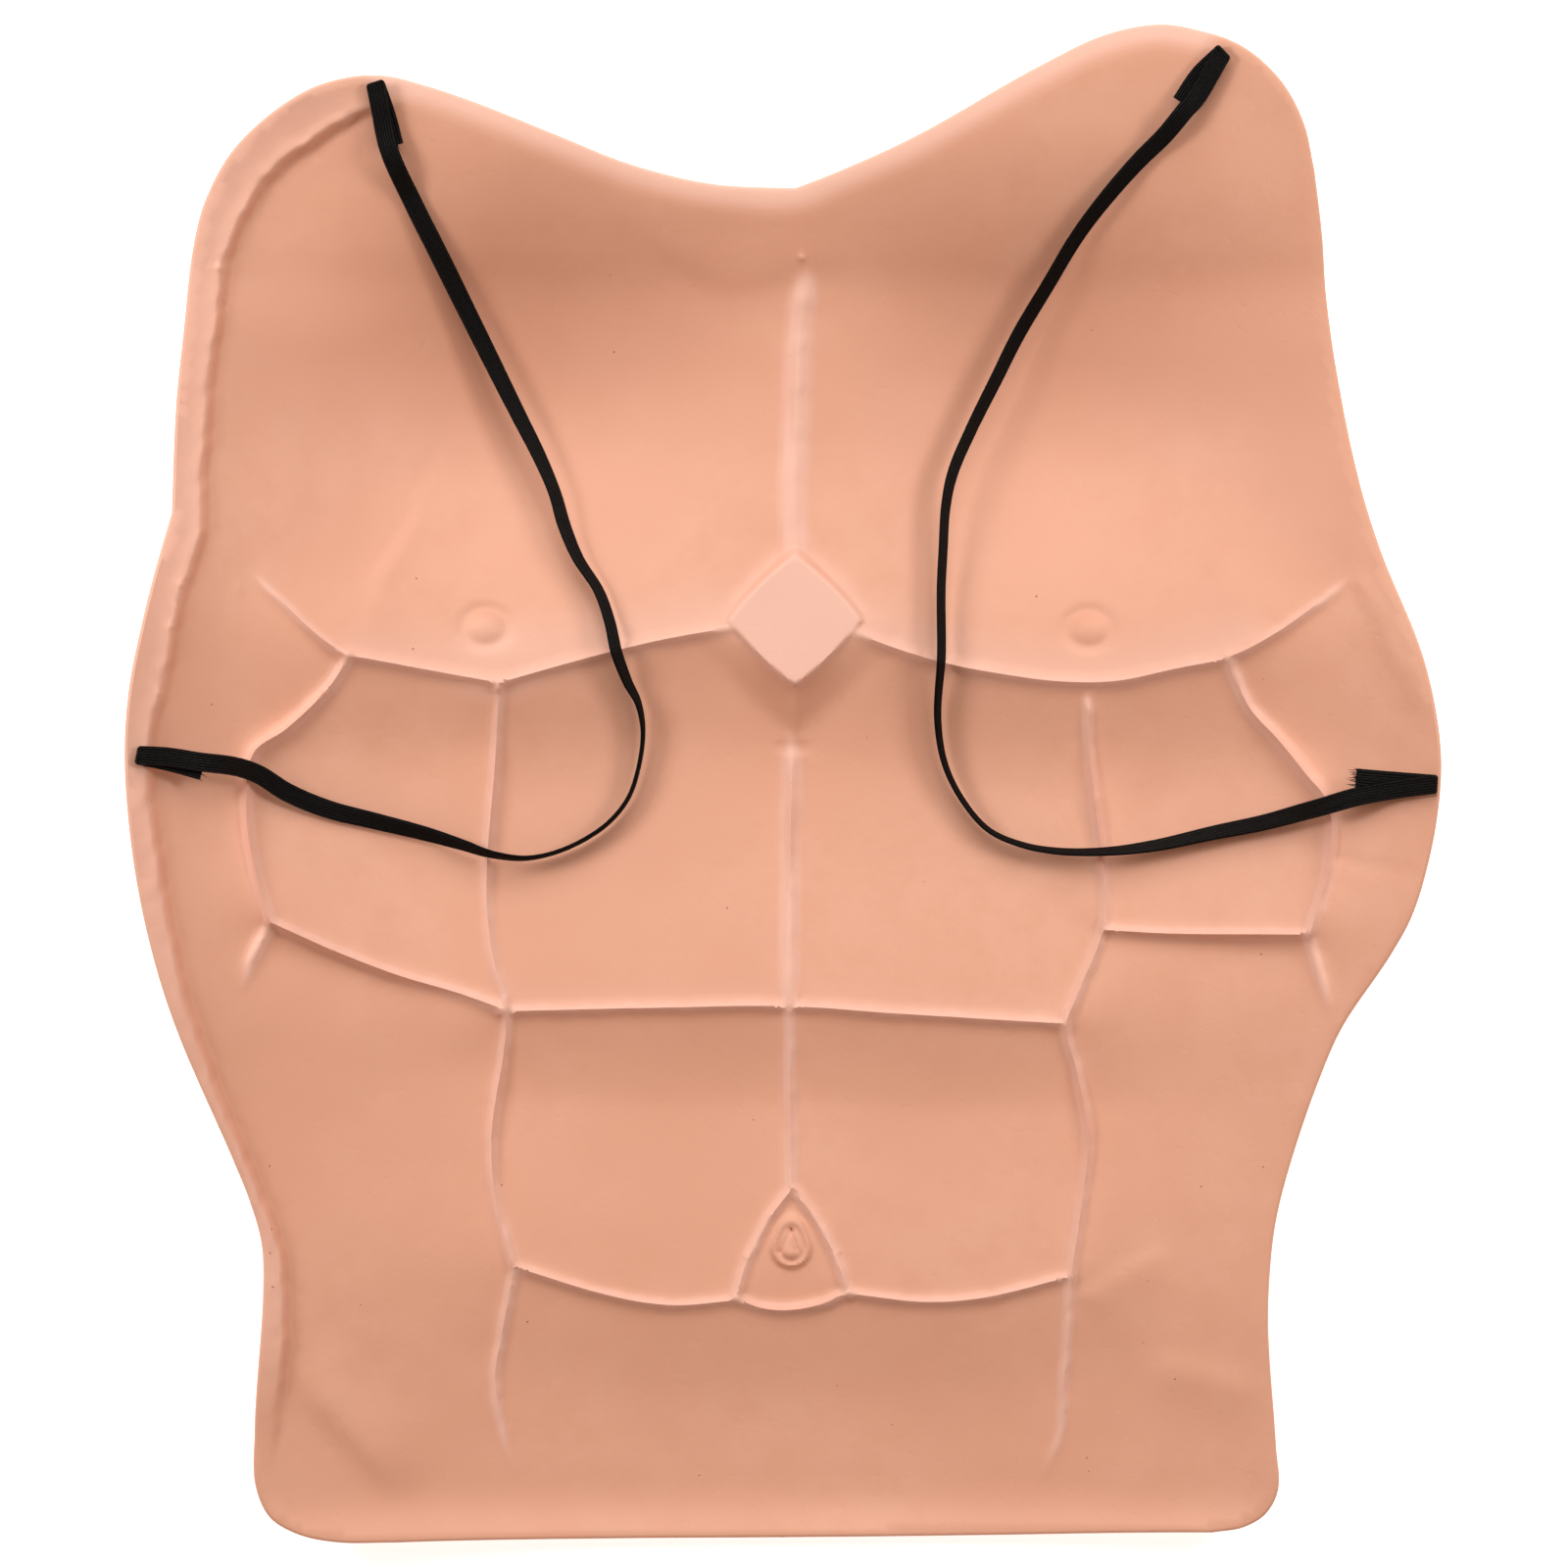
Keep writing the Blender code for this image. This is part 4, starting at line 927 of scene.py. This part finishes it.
def elastic_material():
    """Black braided elastic: crossing threads over lengthwise ribs, with a painted highlight along the
    rib crests.
    """
    m = Nodes("black_braided_elastic")
    along = m.add("ShaderNodeUVMap", uv_map="along").outputs["UV"]
    parts = m.add("ShaderNodeSeparateXYZ", {"Vector": along})
    u, v = parts.outputs["X"], parts.outputs["Y"]
    slant = m.math("MULTIPLY", v, 0.55)
    turns = 2 * math.pi / BRAID_PITCH
    first = m.math("SINE", m.math("MULTIPLY", m.math("ADD", u, slant), turns))
    second = m.math("SINE", m.math("MULTIPLY", m.math("SUBTRACT", u, slant), turns))
    weave = m.span(m.math("MULTIPLY", first, second), -1.0, 1.0)
    fuzz = m.noise(0.0006, 2.0)
    # Painted highlight: a lighter colour along the crest of each rib.
    rib = m.math("ABSOLUTE", m.math("COSINE", m.math("MULTIPLY", v, math.pi * RIBS_PER_METRE)))
    light = m.math("MULTIPLY", m.span(rib, 0.86, 1.0), m.span(fuzz, 0.35, 0.65, 0.3, 1.0))
    colour = m.mix(light, (*ELASTIC_DARK, 1), (*ELASTIC_RIB_HIGHLIGHT, 1))
    skin = m.bump(weave, 0.00008)
    skin = m.bump(fuzz, 0.00006, normal=skin)
    m.shade(Base_Color=colour, Roughness=m.span(weave, 0.0, 1.0, 0.5, 0.7), Normal=skin)
    m.shade(Specular_IOR_Level=0.10, Sheen_Weight=0.0)
    return m.material


def glue_material():
    """Dried hot glue: clear amber, slightly wavy."""
    m = Nodes("dried_clear_glue")
    ripple = m.noise(0.0025, 2.0)
    colour = m.mix(m.span(ripple, 0.3, 0.7), (0.62, 0.52, 0.36, 1), (0.80, 0.72, 0.56, 1))
    m.shade(Base_Color=colour, Roughness=m.span(ripple, 0.3, 0.7, 0.22, 0.4),
            Normal=m.bump(ripple, 0.0002))
    m.shade(Transmission_Weight=0.35, IOR=1.48)
    return m.material


# ---------------------------------------------------------------- the studio
def make_floor():
    mesh = bpy.data.meshes.new("floor")
    reach = 6.0
    mesh.from_pydata([(-reach, -reach, 0), (reach, -reach, 0), (reach, reach, 0), (-reach, reach, 0)],
                     [], [(0, 1, 2, 3)])
    floor = bpy.data.objects.new("floor", mesh)
    floor.location.z = -0.0002
    bpy.context.scene.collection.objects.link(floor)
    m = Nodes("pale_floor")
    m.shade(Base_Color=(0.92, 0.92, 0.92, 1), Roughness=0.9, Specular_IOR_Level=0.1)
    m.shade(Emission_Color=(1, 1, 1, 1), Emission_Strength=0.7)
    mesh.materials.append(m.material)


def make_light(name, place, size, power):
    """A soft square light that faces the middle of the object."""
    lamp = bpy.data.lights.new(name, "AREA")
    lamp.size = size
    lamp.energy = power
    lamp.color = (0.97, 1.0, 1.02)
    light = bpy.data.objects.new(name, lamp)
    light.location = place
    light.rotation_euler = (Vector((0, 0, 0)) - Vector(place)).to_track_quat("-Z", "Y").to_euler()
    bpy.context.scene.collection.objects.link(light)


def make_world(colour, strength):
    world = bpy.data.worlds.new("studio")
    world.use_nodes = True
    background = world.node_tree.nodes["Background"]
    background.inputs["Color"].default_value = (*colour, 1)
    background.inputs["Strength"].default_value = strength
    bpy.context.scene.world = world


CAMERA_HEIGHT = 1.9
CAMERA_SHIFT = 0.00184  # towards the neck, which centres the panel as in the photo


def make_camera():
    """Straight above the panel, with its neck at the top of the frame."""
    lens = bpy.data.cameras.new("camera")
    lens.lens = 135
    lens.sensor_width = 36
    camera = bpy.data.objects.new("camera", lens)
    camera.location = (0, CAMERA_SHIFT, CAMERA_HEIGHT)
    bpy.context.scene.collection.objects.link(camera)
    bpy.context.scene.camera = camera


def main():
    foam, elastic, glue = foam_material(), elastic_material(), glue_material()
    make_camera()
    make_side("left", LEFT_ROUTE, LEFT_SHOULDER_TAIL, LEFT_SIDE_TAIL, elastic)
    make_side("right", RIGHT_ROUTE, RIGHT_SHOULDER_TAIL, RIGHT_SIDE_TAIL, elastic)
    panel = make_panel(foam)
    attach(panel, "root")
    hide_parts("foam_panel")
    for name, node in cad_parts.items():
        if name.endswith("glue_pad"):
            node.data.materials.clear()
            node.data.materials.append(glue)
    make_floor()
    make_light("top", (0.0, 1.6, 1.5), 1.6, 28.3)
    make_light("side_left", (-0.85, 0.30, 0.80), 0.35, 5.6)
    make_light("side_right", (0.85, 0.30, 0.80), 0.35, 4.2)
    make_world((1.0, 0.76, 0.62), 0.32)
    bpy.context.scene.view_settings.view_transform = "Standard"


main()
